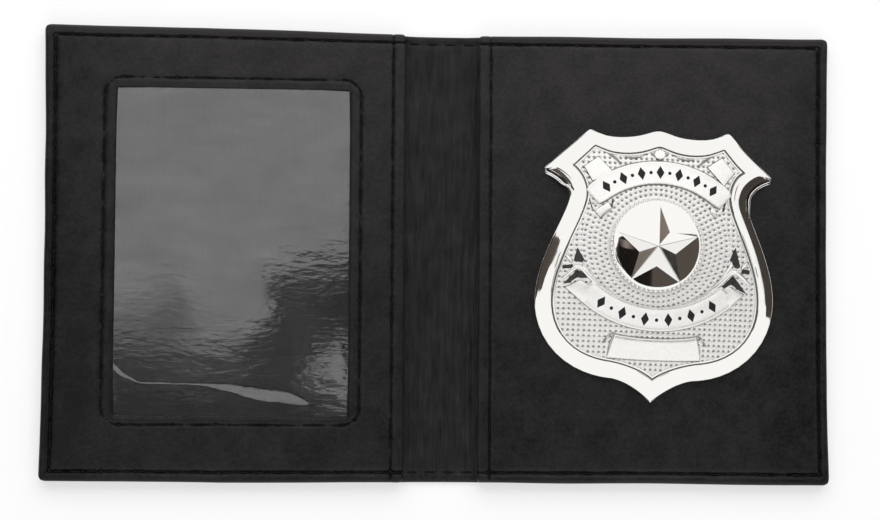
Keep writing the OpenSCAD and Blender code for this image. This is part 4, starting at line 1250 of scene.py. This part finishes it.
def ornament_parts():
    """Folds, tails and leaves of the two ribbons, each with its material, and near-black patches of painted
    shadow in the folds.
    """
    parts = []

    def light(part, material=SATIN):
        parts.append(worked(part, material))

    # A near-black patch of painted shadow, standing a little over the ground
    def dark(corners):
        parts.append(worked(patch(corners, (0.14, 0.14, 0.14, 0.14)), DEEP_SHADE))

    # Painted shadows: near-black patches in the folds between the lower ribbon and the rim, where shade
    # falls
    dark([(-20.4, -1.2), (-21.3, -4.6), (-19.7, -4.9), (-18.3, -4.7)])
    dark([(-20.3, -6.8), (-23.7, -10.5), (-22.1, -10.2), (-20.3, -8.8)])
    dark([(-20.3, -6.8), (-20.3, -8.8), (-18.6, -8.9), (-17.2, -8.5)])
    dark([(-24.0, -5.9), (-21.4, -5.5), (-21.3, -6.5), (-24.0, -6.7)])
    dark([(19.8, 0.5), (18.3, -2.9), (19.9, -4.9), (21.3, -4.6)])
    dark([(19.4, -6.7), (19.0, -9.1), (16.9, -10.0), (15.5, -10.6)])
    dark([(19.4, -6.7), (23.1, -11.2), (21.4, -10.6), (19.0, -9.1)])
    dark([(21.6, -4.9), (23.8, -5.2), (23.8, -6.2), (21.6, -6.1)])
    # Ridge that runs up from the lower ribbon, over the fold and out to the rim
    light(stroke([(-23.9, -9.2), (-22.2, -7.5), (-20.3, -5.9), (-19.0, -6.5), (-17.5, -8.0),
                  (-15.4, -10.1), (-12.6, -12.1)], 1.35, 0.66, 0.4), RIM)
    light(stroke([(23.9, -9.0), (22.0, -7.1), (19.9, -5.7), (18.6, -6.2), (17.1, -7.7),
                  (15.1, -9.7), (12.4, -11.8)], 1.35, 0.66, 0.4), RIM)
    # Small leaf beside the fold
    light(stroke([(-23.4, -3.1), (-22.5, -3.9), (-21.6, -5.0)], 1.0, 0.6, 0.5))
    light(stroke([(23.2, -3.4), (22.3, -4.1), (21.5, -5.1)], 1.0, 0.6, 0.5))
    # Folded ends of the lower ribbon
    light(patch([(-23.4, -11.3), (-19.6, -9.3), (-14.9, -11.9), (-18.5, -15.4)],
                (0.35, 0.56, 0.62, 0.5), 0.1))
    light(patch([(22.6, -11.4), (18.0, -9.4), (14.6, -11.8), (18.9, -14.8)],
                (0.35, 0.56, 0.62, 0.5), 0.1))
    for flip in (False, True):
        def m(points):
            return mirrored(points) if flip else list(points)

        # Crescent between the ground's arc and the lower ribbon
        across = np.linspace(18.9, 1.0, 24)
        side = 1 if flip else -1
        light(band([(side * a, CRESCENT_Y - math.sqrt(CRESCENT_R**2 - (side * a - CRESCENT_X) ** 2))
                    for a in across],
                   [(side * a, LOWER_LIFT - math.sqrt((LOWER_R - RIBBON_W / 2 - 0.1) ** 2 - a * a))
                    for a in across], 0.5))
        # Leaves and scrolls in the upper corners
        light(stroke(m([(-20.4, 20.9), (-19.0, 22.4), (-17.6, 23.8)]), 0.5, 0.3))
        light(stroke(m([(-13.6, 23.4), (-12.2, 22.6), (-10.6, 21.4), (-9.9, 20.2)]), 0.7, 0.3))
        light(stroke(m([(-9.0, 22.3), (-6.8, 22.0), (-4.4, 22.6)]), 0.55, 0.3))
        # Curls at the ends of the name plate
        light(stroke(m([(-10.6, -22.2), (-11.7, -22.9), (-12.5, -24.1), (-13.3, -25.0)]), 0.6, 0.4))
    # Ends of the upper ribbon that fold up into the shield's corners
    light(patch([(-19.3, 19.6), (-15.6, 22.4), (-11.6, 18.3), (-17.1, 15.6)], (0.4, 0.42, 0.5, 0.5)))
    light(patch([(19.5, 19.3), (16.2, 23.4), (12.0, 20.6), (16.6, 15.6)], (0.4, 0.42, 0.5, 0.5)))
    # Painted shadows: thin near-black strips along the folded ends
    dark([(-19.2, 18.7), (-18.9, 18.2), (-17.0, 16.4), (-17.3, 16.9)])
    dark([(15.8, 17.6), (17.3, 17.7), (18.6, 19.1), (17.2, 17.3)])
    # Ends of the same ribbon and the leaves that hang from them, with thin near-black strips of painted
    # shadow beside them
    dark([(-18.0, 11.6), (-17.7, 11.5), (-16.8, 8.7), (-17.1, 8.6)])
    dark([(17.9, 14.2), (17.5, 14.2), (16.1, 9.2), (16.5, 9.2)])
    light(patch([(-16.5, 8.1), (-13.0, 10.7), (-12.0, 8.9), (-14.9, 6.2)], (0.3, 0.35, 0.3, 0.25), 0.12))
    light(patch([(14.9, 8.6), (13.2, 10.6), (13.0, 8.9), (14.4, 7.4)], (0.3, 0.35, 0.3, 0.25), 0.12))
    dark([(-12.0, 11.5), (-11.7, 11.4), (-12.0, 8.9), (-12.4, 9.1)])
    # Small crest at the top
    light(patch([(-2.1, 23.2), (0, 25.2), (2.1, 23.2), (0, 21.5)], (0.25, 0.25, 0.25, 0.25), 0.15))
    light(stroke([(-4.4, 22.6), (-3.0, 23.9), (-1.6, 24.8)], 0.5, 0.3))
    light(stroke([(4.4, 22.6), (3.0, 23.9), (1.6, 24.8)], 0.5, 0.3))
    return parts


# Marks of each ribbon: lozenges, degrees apart, radius, middle of the arc and its side
MARKS = ((7, 11.2, UPPER_R, -UPPER_DROP, 1), (6, 12.6, LOWER_R, LOWER_LIFT, -1))


def mark_places():
    """Places and turns of the lozenges and the dots between them."""
    lozenges, dots = [], []
    for count, angle, radius, centre, up in MARKS:
        for i in range(2 * count - 1):
            a = math.radians((i / 2 - (count - 1) / 2) * angle)
            place = (radius * math.sin(a), centre + up * radius * math.cos(a), -up * a)
            (dots if i % 2 else lozenges).append(place)
    return lozenges, dots


def enamel_part():
    """The lozenges and dots in the two ribbons."""
    lozenges, dots = mark_places()
    parts = []
    s, t = np.meshgrid(np.linspace(-1, 1, 9), np.linspace(-1, 1, 9), indexing="ij")
    rise = 0.07 * (1 - s**2) ** 0.5 * (1 - t**2) ** 0.5

    def seat(x, y):
        """The face of the ribbon under a mark."""
        lean = LOWER_LEAN * (np.hypot(x, y - LOWER_LIFT) - LOWER_R) / (RIBBON_W / 2)
        return dome(x, y) - 0.015 - np.where(y < 0, lean, 0)

    for cx, cy, turn in lozenges:
        px, py = (s + t) / 2 * LOZENGE_W / 2, (t - s) / 2 * LOZENGE_H / 2
        x = cx + px * math.cos(turn) - py * math.sin(turn)
        y = cy + px * math.sin(turn) + py * math.cos(turn)
        parts.append(sheet(x, y, seat(x, y) + rise, seat(x, y) - 0.2))
    for cx, cy, _ in dots:
        a, b = s * np.sqrt(1 - t * t / 2), t * np.sqrt(1 - s * s / 2)
        x, y = cx + a * DOT_D / 2, cy + b * DOT_D / 2
        parts.append(sheet(x, y, seat(x, y) + rise, seat(x, y) - 0.2))
    return join(parts)


def lathe(profile, segments):
    """A closed body turned round the badge's axis; the profile starts and ends on it."""
    turns = np.arange(segments) * math.tau / segments
    rings = [np.column_stack([r * np.cos(turns), r * np.sin(turns), np.full(segments, z)])
             for r, z in profile[1:-1]]
    points = np.concatenate([[[0, 0, profile[0][1]]], *rings, [[0, 0, profile[-1][1]]]])
    faces, last = [], len(points) - 1
    for i in range(segments):
        j = (i + 1) % segments
        faces.append([0, 1 + i, 1 + j])
        for k in range(len(rings) - 1):
            a, b = 1 + k * segments, 1 + (k + 1) * segments
            faces.append([a + i, b + i, b + j, a + j])
        a = 1 + (len(rings) - 1) * segments
        faces.append([a + i, last, a + j])
    return points, faces


def medal_part():
    """The polished disc with a ring of beads round its edge."""
    radii = np.linspace(0, MEDAL_R - 0.15, 17)
    profile = [(r, float(medal(r + MEDAL_X, MEDAL_Y))) for r in radii]
    edge = profile[-1][1]
    profile += [(MEDAL_R - 0.06, edge - 0.05), (MEDAL_R, edge - 0.25), (MEDAL_R, edge - 1.1),
                (MEDAL_R, 5.0), (0, 5.0)]
    parts = [lathe(profile, 120)]
    count, bead = 60, 0.46
    ups = [(0.0, 1.0), (0.38, 0.92), (0.71, 0.71), (0.92, 0.38), (1.0, 0.0), (0.9, -0.9), (0, -0.9)]
    ball, faces = lathe(ups, 10)
    for i in range(count):
        a = i * math.tau / count
        x, y = (MEDAL_R + 0.2) * math.cos(a), (MEDAL_R + 0.2) * math.sin(a)
        parts.append((ball * bead + (x, y, edge - 0.22), faces))
    points, faces = join(parts)
    return points + (MEDAL_X, MEDAL_Y, 0), faces


def star_part():
    """A five-pointed star of flat facets with slightly rounded ridges."""
    offsets = np.array([0.35, 0.7, 1.0, 1.6]) * RIDGE_R
    turns = np.radians(90 - STAR_TURN + 36 * np.arange(10))
    radii = np.where(np.arange(10) % 2 == 0, STAR_R, STAR_R * NOTCH)
    x, y = radii * np.cos(turns) + STAR_X, radii * np.sin(turns) + STAR_Y
    corners = np.column_stack([x, y, medal(x, y) + STAR_EDGE])
    apex = np.array([APEX_X, APEX_Y, CROWN + MEDAL_RISE + STAR_RISE])
    reach = STAR_R * NOTCH * math.sin(math.radians(36))
    fall = (apex[2] - corners[0, 2]) * NOTCH * math.cos(math.radians(36))
    slope = (apex[2] - fall - corners[1, 2]) / reach
    drops = slope * np.clip(RIDGE_R - offsets, 0, None) ** 2 / (2 * RIDGE_R)
    lowest = slope * RIDGE_R / 2

    def run(start, end):
        p = start + (end - start) * (offsets / reach)[:, None]
        return p - np.column_stack([0 * drops, 0 * drops, drops])

    # Apex, ten corners, five valleys, then ten outer edges from their tip to their notch
    rows = [run(apex, corners[i]) for i in range(1, 10, 2)]
    edges = [run(corners[i] if i % 2 == 0 else corners[(i + 1) % 10],
                 corners[(i + 1) % 10] if i % 2 == 0 else corners[i]) for i in range(10)]
    tops = corners - np.where(np.arange(10) % 2 == 0, lowest, 0)[:, None] * (0, 0, 1)
    upper = np.concatenate([[apex - (0, 0, lowest)], tops, *rows, *edges])
    n = len(offsets)
    faces, border = [], []
    for i in range(10):
        tip, notch = (i, (i + 1) % 10) if i % 2 == 0 else ((i + 1) % 10, i)
        inner = [0] + [11 + (notch // 2) * n + k for k in range(n)]
        outer = [1 + tip] + [11 + 5 * n + i * n + k for k in range(n)]
        faces += [[inner[k], outer[k], outer[k + 1], inner[k + 1]] for k in range(n)]
        faces.append([inner[n], outer[n], 1 + notch])
        border += outer if i % 2 == 0 else [1 + notch] + outer[:0:-1]
    count, around = len(upper), len(border)
    lower = upper[border] * (1, 1, 0)
    lower[:, 2] = medal(lower[:, 0], lower[:, 1]) - 0.4
    for k in range(around):
        j = (k + 1) % around
        faces.append([border[k], border[j], count + j, count + k])
    faces.append([count + k for k in range(around)])
    return np.concatenate([upper, lower]), faces


# Operators

def bend_over(piece, side):
    """Bakes the placement of a sheet that crosses a crease into its mesh."""
    if side < 0:
        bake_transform(piece)
    else:
        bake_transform(piece)


class WALLET_OT_cover(Operator):
    """Cover leather of both halves, each to the middle of the spine"""

    bl_idname = "wallet.cover"
    bl_label = "Cover"

    def execute(self, context):
        sizes, m = context.scene.wallet_sizes, finishes(context)
        for side, word in ((-1, "left"), (1, "right")):
            nodes = [f"cover_{word}"] + (["cover_spine"] if side < 0 else [])
            piece = add_piece(f"cover_leather_{word}", cover_part(side, sizes), m["cover"], None,
                              nodes)
            bend_over(piece, side)
        return {"FINISHED"}


class WALLET_OT_lining(Operator):
    """Lining of both halves, each to the middle of the spine"""

    bl_idname = "wallet.lining"
    bl_label = "Lining"

    def execute(self, context):
        sizes, m = context.scene.wallet_sizes, finishes(context)
        for side, word in ((-1, "left"), (1, "right")):
            nodes = [f"lining_{word}"] + (["lining_spine"] if side < 0 else [])
            piece = add_piece(f"lining_leather_{word}", lining_part(side, sizes), m["lining"], None,
                              nodes)
            bend_over(piece, side)
        return {"FINISHED"}


class WALLET_OT_panels(Operator):
    """Window panel and badge panel with their turned-under hems"""

    bl_idname = "wallet.panels"
    bl_label = "Panels and hems"

    def execute(self, context):
        sizes, m = context.scene.wallet_sizes, finishes(context)
        add_piece("window_panel_leather", panel_part(-1, sizes, True), m["panel"], "left_half",
                  ["window_panel"])
        add_piece("badge_panel_leather", panel_part(1, sizes, False), m["panel"], "right_half",
                  ["badge_panel"])
        add_piece("window_turned_hem", hem_part(-1), m["panel"], "left_half",
                  ["window_hem"])
        add_piece("badge_turned_hem", hem_part(1), m["panel"], "right_half",
                  ["badge_hem"])
        return {"FINISHED"}


class WALLET_OT_film(Operator):
    """Clear film behind the window"""

    bl_idname = "wallet.film"
    bl_label = "Window film"

    def execute(self, context):
        add_piece("window_clear_film", film_part(context.scene.wallet_sizes),
                  finishes(context)["film"], "left_half", ["window_film"])
        return {"FINISHED"}


class WALLET_OT_stitches(Operator):
    """Every row of stitches, on the inside and on the back"""

    bl_idname = "wallet.stitches"
    bl_label = "Stitches"

    def execute(self, context):
        sizes, m = context.scene.wallet_sizes, finishes(context)
        top, spine, back = TOP_Z - 0.2, SPINE_Z - 0.13, 0.24
        rows = (
            ("rim_thread_left", "rim_stitches_left", rim_rows(-1), top, 1, "left_half"),
            ("rim_thread_spine", "rim_stitches_spine", spine_rows(), spine, 1, "spine"),
            ("rim_thread_right", "rim_stitches_right", rim_rows(1), top, 1, "right_half"),
            ("window_thread", "window_stitches", window_rows(), top, 1, "left_half"),
            ("window_hem_thread", "window_hem_stitches", hem_rows(-1), top, 1, "left_half"),
            ("badge_hem_thread", "badge_hem_stitches", hem_rows(1), top, 1, "right_half"),
            ("back_thread_left", "back_stitches_left", rim_rows(-1), back, -1, "left_half"),
            ("back_thread_spine", "back_stitches_spine", spine_rows(), back, -1, "spine"),
            ("back_thread_right", "back_stitches_right", rim_rows(1), back, -1, "right_half"),
        )
        for seed, (name, node, places, z, up, body) in enumerate(rows, 100):
            add_piece(name, thread(places, z, up, sizes, seed), m["thread"], body,
                      [node])
        return {"FINISHED"}


class WALLET_OT_shield(Operator):
    """Chrome shield: rim, punched ground, ribbons, name plate and leaves"""

    bl_idname = "wallet.shield"
    bl_label = "Shield"

    def execute(self, context):
        sizes, m = context.scene.wallet_sizes, finishes(context)
        worked_parts = [rim_part(steps=16), ground_part(sizes),
                        worked(ribbon_part(-UPPER_DROP, UPPER_R, UPPER_REACH, 1), SATIN),
                        worked(ribbon_part(LOWER_LIFT, LOWER_R, LOWER_REACH, -1, LOWER_LEAN), SATIN),
                        worked(plate_part(), SATIN), *ornament_parts()]
        piece = add_piece("shield_casting", on_panel(join([part for part, _ in worked_parts])),
                          m["rim"], "right_half", ["shield"], sharp=38.0)
        # Slots after the rim: ground, the two painted shades, then satin
        for key in ("ground", "pit", "recess", "satin"):
            piece.data.materials.append(m[key])
        marks = np.concatenate([part_marks for _, part_marks in worked_parts])
        piece.data.polygons.foreach_set("material_index", marks)
        return {"FINISHED"}


class WALLET_OT_medallion(Operator):
    """Medallion disc and its star"""

    bl_idname = "wallet.medallion"
    bl_label = "Medallion"

    def execute(self, context):
        m = finishes(context)
        add_piece("medallion_disc", on_panel(medal_part()), m["mirror"], "right_half",
                  ["star_medallion"], sharp=60.0)
        star = add_piece("medallion_star", on_panel(star_part()), m["star"], "right_half",
                         ["star_medallion"], sharp=5.5)
        star.data.materials.append(m["mirror"])
        # Painted light: facets that face up the wallet get the brighter disc metal, the others the darker
        # star copy
        for face in star.data.polygons:
            face.material_index = 1 if face.normal.y > 0.02 else 0
        return {"FINISHED"}


class WALLET_OT_enamel(Operator):
    """Black enamel lozenges and dots in the ribbons"""

    bl_idname = "wallet.enamel"
    bl_label = "Enamel marks"

    def execute(self, context):
        add_piece("enamel_marks", on_panel(enamel_part()), finishes(context)["enamel"],
                  "right_half", ["ribbon_enamel"])
        return {"FINISHED"}


class WALLET_OT_fixings(Operator):
    """Materials of the studs, push nuts and boards, which keep their own shapes"""

    bl_idname = "wallet.fixings"
    bl_label = "Studs, nuts and boards"

    def execute(self, context):
        m = finishes(context)
        for node, key in (("badge_studs", "stud"), ("push_nuts", "nut"),
                          ("board_left", "board"), ("board_right", "board")):
            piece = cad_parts[node]
            piece.data.materials.clear()
            piece.data.materials.append(m[key])
        return {"FINISHED"}


# Stage

# Camera: its place in millimetres, and its turn as an axis times an angle in radians
CAMERA_PLACE = (-38.058, -32.368, 526.023)
CAMERA_TURN = (0.0590657, -0.0722881, 0.0082262)
# Area lamps in metres and watts: name, place, aim, width, depth and power
LAMPS = (("north_softbox", (0, 0.62, 0.62), (0, 0.02, 0), 1.3, 0.75, 7.6),
         ("south_fill", (0.1, -0.85, 0.7), (0, 0, 0), 1.0, 0.6, 2.2))
# Strength of the white sky for rays that only carry light
SKY_LIGHT = 0.5
# Half the floor's width and how far it lies under the wallet, in metres
FLOOR_HALF, FLOOR_DROP = 2.2, 0.00004
# Dark room above the wallet, seen only in reflections and through the clear film. Its
# strips lie one under the other: angle across, then how far each reaches up and down
# the wallet's height, then its grey. They were placed by trial, for the photo's view.
ROOM_R, ROOM_Z = 514.0, 12
ROOM = (
    ((-86, 250, -100, 0.03), (-60, 220, -78, 0.05), (-50.5, 205, -60, 0.06), (-49, 195, -35, 0.07),
     (-45, 175, -10, 0.08), (-40, 150, 5, 0.09), (-33, 125, 10, 0.09), (-28, 105, 30, 0.1),
     (-26.5, 95, 60, 0.1)),
    ((43, 180, 172, 0.08), (45, 188, 125, 0.07), (46.4, 194, 65, 0.06), (47.9, 200, -5, 0.055),
     (49.3, 210, -45, 0.05), (50, 215, -75, 0.05), (51, 220, -85, 0.05), (60, 230, -112, 0.06),
     (74, 240, -130, 0.05), (86, 300, -145, 0.04)),
    ((-20.9, -9, -76, 0.18), (-18.9, -7, -76, 0.18), (-17.1, -9, -75, 0.23), (-16.3, -14, -74, 0.25),
     (-15.3, -16.5, -74, 0.25), (-13.4, -17.3, -74, 0.22), (-12.6, -11.3, -74, 0.18),
     (-11.95, -5, -76, 0.17), (-11.2, 1, -76, 0.17), (-11.15, 20, -76, 0.17),
     (-10, 23.6, -76, 0.17), (-9.75, 24.4, -76, 0.17)),
    ((-9.75, 24.4, -29, 0.17), (-8.73, 26.6, -18.5, 0.17), (-8, 27.3, -14, 0.16),
     (-7.1, 26.5, -7, 0.12), (-6.9, 32, -20, 0.05), (-6.4, 50, -33, 0.02), (-5.8, 66, -45, 0.01),
     (-5, 68, -60, 0.01), (-3, 74, -90, 0.01), (0, 80, -150, 0.012), (7.2, 80, -150, 0.014),
     (8.4, 80, -150, 0.085), (24, 78, -150, 0.085), (30, 72, -150, 0.09), (34.3, 72, -85, 0.07)),
    ((-9.75, -29.3, -80, 0.17), (-8.43, -35.5, -80, 0.17), (-7.1, -41.5, -80, 0.16),
     (-6.6, -44, -80, 0.15)),
    ((-12.3, 17, 16, 0.2), (-11.6, 19, 9, 0.17), (-11.15, 20.5, 0, 0.17)),
    ((-20.8, -2, -14, 0.6), (-19, 2, -14, 0.6), (-17.7, 8, -14, 0.55), (-16.9, 10, -16, 0.55),
     (-16.3, 2, -17, 0.7), (-15.6, -7, -18, 0.8), (-13.4, -10, -19, 0.8), (-12.6, -7, -13, 0.75)),
    ((-20.8, 6, -3, 0.85), (-19, 10, 1, 0.82), (-17.7, 22, 7, 0.78), (-16.9, 24, 9, 0.78),
     (-16.2, 12, 1, 0.85), (-15.4, 0, -8, 0.9), (-13.4, -3, -11, 0.9)),
    ((-20.9, -36, -75, 0.12), (-16, -38, -73, 0.12), (-10, -43, -75, 0.12)),
    ((-24.6, 50, 2, 0.13), (-23.3, 50, 2, 0.18), (-22, 50, 2, 0.24)),
    ((38.6, 222, 182, 0.14), (40.8, 222, 182, 0.26)),
    ((41.4, 10, -16, 0.025), (43.6, 10, -16, 0.025)),
    ((-6.3, 62, 48, 0.03), (-5, 58, 30, 0.1), (-3.2, 52, 24, 0.26), (-1.5, 45, 22, 0.16),
     (0.3, 30, 18, 0.03)),
)


# Tones of the greys: plain between two angles, warm elsewhere
WARM, PLAIN = (1.0, 0.84, 0.72), (1.0, 1.0, 1.02)
PLAIN_FROM, PLAIN_TO = -21, -7


def room_part():
    """Points, faces and point colours of the dark room's strips."""
    points, faces, tones = [], [], []
    for place, strip in enumerate(ROOM):
        r = ROOM_R - place
        for i, (turn, north, south, grey) in enumerate(strip):
            a, k = math.radians(turn), len(points)
            x, z = BADGE_X + r * math.sin(a), ROOM_Z + r * math.cos(a)
            points += [(x, south, z), (x, north, z)]
            hue = PLAIN if PLAIN_FROM < turn < PLAIN_TO else WARM
            tones += [grey * c for c in hue + (1,)] * 2
            if i + 1 < len(strip):
                faces.append([k, k + 1, k + 3, k + 2])
    return points, faces, tones


class WALLET_OT_stage(Operator):
    """Floor, studio light and camera"""

    bl_idname = "wallet.stage"
    bl_label = "Stage"

    def execute(self, context):
        scene = context.scene
        self.floor(scene, finishes(context)["floor"])
        self.room(scene)
        self.lamps(scene)
        self.world(scene)
        self.camera(scene)
        scene.view_settings.view_transform = "Standard"
        return {"FINISHED"}

    def floor(self, scene, material):
        half = FLOOR_HALF
        mesh = bpy.data.meshes.new("floor")
        mesh.from_pydata([(-half, -half, 0), (half, -half, 0), (half, half, 0), (-half, half, 0)],
                         [], [(0, 1, 2, 3)])
        mesh.materials.append(material)
        floor = bpy.data.objects.new("floor", mesh)
        floor.location.z = -FLOOR_DROP
        scene.collection.objects.link(floor)

    def room(self, scene):
        points, faces, tones = room_part()
        mesh = bpy.data.meshes.new("dark_room")
        mesh.from_pydata([tuple(c * MM for c in p) for p in points], [], faces)
        tone = mesh.attributes.new("tone", "FLOAT_COLOR", "POINT")
        tone.data.foreach_set("color", tones)
        material = bpy.data.materials.new("dark_room")
        material.use_nodes = True
        nodes, links = material.node_tree.nodes, material.node_tree.links
        nodes.clear()
        read = nodes.new("ShaderNodeAttribute")
        read.attribute_name = "tone"
        glow = nodes.new("ShaderNodeEmission")
        out = nodes.new("ShaderNodeOutputMaterial")
        links.new(read.outputs["Color"], glow.inputs["Color"])
        links.new(glow.outputs["Emission"], out.inputs["Surface"])
        mesh.materials.append(material)
        room = bpy.data.objects.new("dark_room", mesh)
        scene.collection.objects.link(room)
        for ray in ("camera", "diffuse", "shadow", "volume_scatter"):
            setattr(room, f"visible_{ray}", False)

    def lamps(self, scene):
        for name, place, aim, wide, deep, power in LAMPS:
            data = bpy.data.lights.new(name, "AREA")
            data.shape, data.size, data.size_y, data.energy = "RECTANGLE", wide, deep, power
            lamp = bpy.data.objects.new(name, data)
            lamp.location = place
            lamp.visible_glossy = False
            lamp.rotation_mode = "QUATERNION"
            lamp.rotation_quaternion = (Vector(aim) - Vector(place)).to_track_quat("-Z", "Y")
            scene.collection.objects.link(lamp)

    def world(self, scene):
        world = bpy.data.worlds.new("studio")
        world.use_nodes = True
        nodes, links = world.node_tree.nodes, world.node_tree.links
        nodes.clear()
        seen = seen_rays(nodes, links)
        plain, white = nodes.new("ShaderNodeBackground"), nodes.new("ShaderNodeBackground")
        plain.inputs["Color"].default_value = (1, 1, 1, 1)
        plain.inputs["Strength"].default_value = SKY_LIGHT
        white.inputs["Color"].default_value = (1, 1, 1, 1)
        white.inputs["Strength"].default_value = 1.0
        mix, out = nodes.new("ShaderNodeMixShader"), nodes.new("ShaderNodeOutputWorld")
        links.new(seen, mix.inputs["Fac"])
        links.new(plain.outputs["Background"], mix.inputs[1])
        links.new(white.outputs["Background"], mix.inputs[2])
        links.new(mix.outputs["Shader"], out.inputs["Surface"])
        scene.world = world

    def camera(self, scene):
        data = bpy.data.cameras.new("camera")
        data.lens, data.sensor_width, data.sensor_fit = 85.0, 36.0, "HORIZONTAL"
        data.clip_start, data.clip_end = 0.01, 20.0
        camera = bpy.data.objects.new("camera", data)
        camera.location = Vector(CAMERA_PLACE) * MM
        turn = Vector(CAMERA_TURN)
        camera.rotation_mode = "QUATERNION"
        camera.rotation_quaternion = Quaternion(turn.normalized(), turn.length)
        scene.collection.objects.link(camera)
        scene.camera = camera


STEPS = (WALLET_OT_cover, WALLET_OT_lining, WALLET_OT_panels, WALLET_OT_film, WALLET_OT_stitches,
         WALLET_OT_shield, WALLET_OT_medallion, WALLET_OT_enamel, WALLET_OT_fixings, WALLET_OT_stage)


class WALLET_PT_panel(Panel):
    """Lists the steps, sizes and colours of the wallet"""

    bl_idname = "WALLET_PT_panel"
    bl_label = "Badge wallet"
    bl_space_type = "VIEW_3D"
    bl_region_type = "UI"
    bl_category = "Badge wallet"

    def draw(self, context):
        for step in STEPS:
            self.layout.operator(step.bl_idname)
        for group in (context.scene.wallet_sizes, context.scene.wallet_colours):
            box = self.layout.box()
            for key in group.__annotations__:
                box.prop(group, key)


CLASSES = (WalletSizes, WalletColours, *STEPS, WALLET_PT_panel)


def register():
    for made in CLASSES:
        bpy.utils.register_class(made)
    bpy.types.Scene.wallet_sizes = PointerProperty(type=WalletSizes)
    bpy.types.Scene.wallet_colours = PointerProperty(type=WalletColours)


def unregister():
    del bpy.types.Scene.wallet_colours
    del bpy.types.Scene.wallet_sizes
    for made in reversed(CLASSES):
        bpy.utils.unregister_class(made)


def main():
    register()
    for step in STEPS:
        group, name = step.bl_idname.split(".")
        getattr(getattr(bpy.ops, group), name)()


if __name__ == "__main__":
    main()
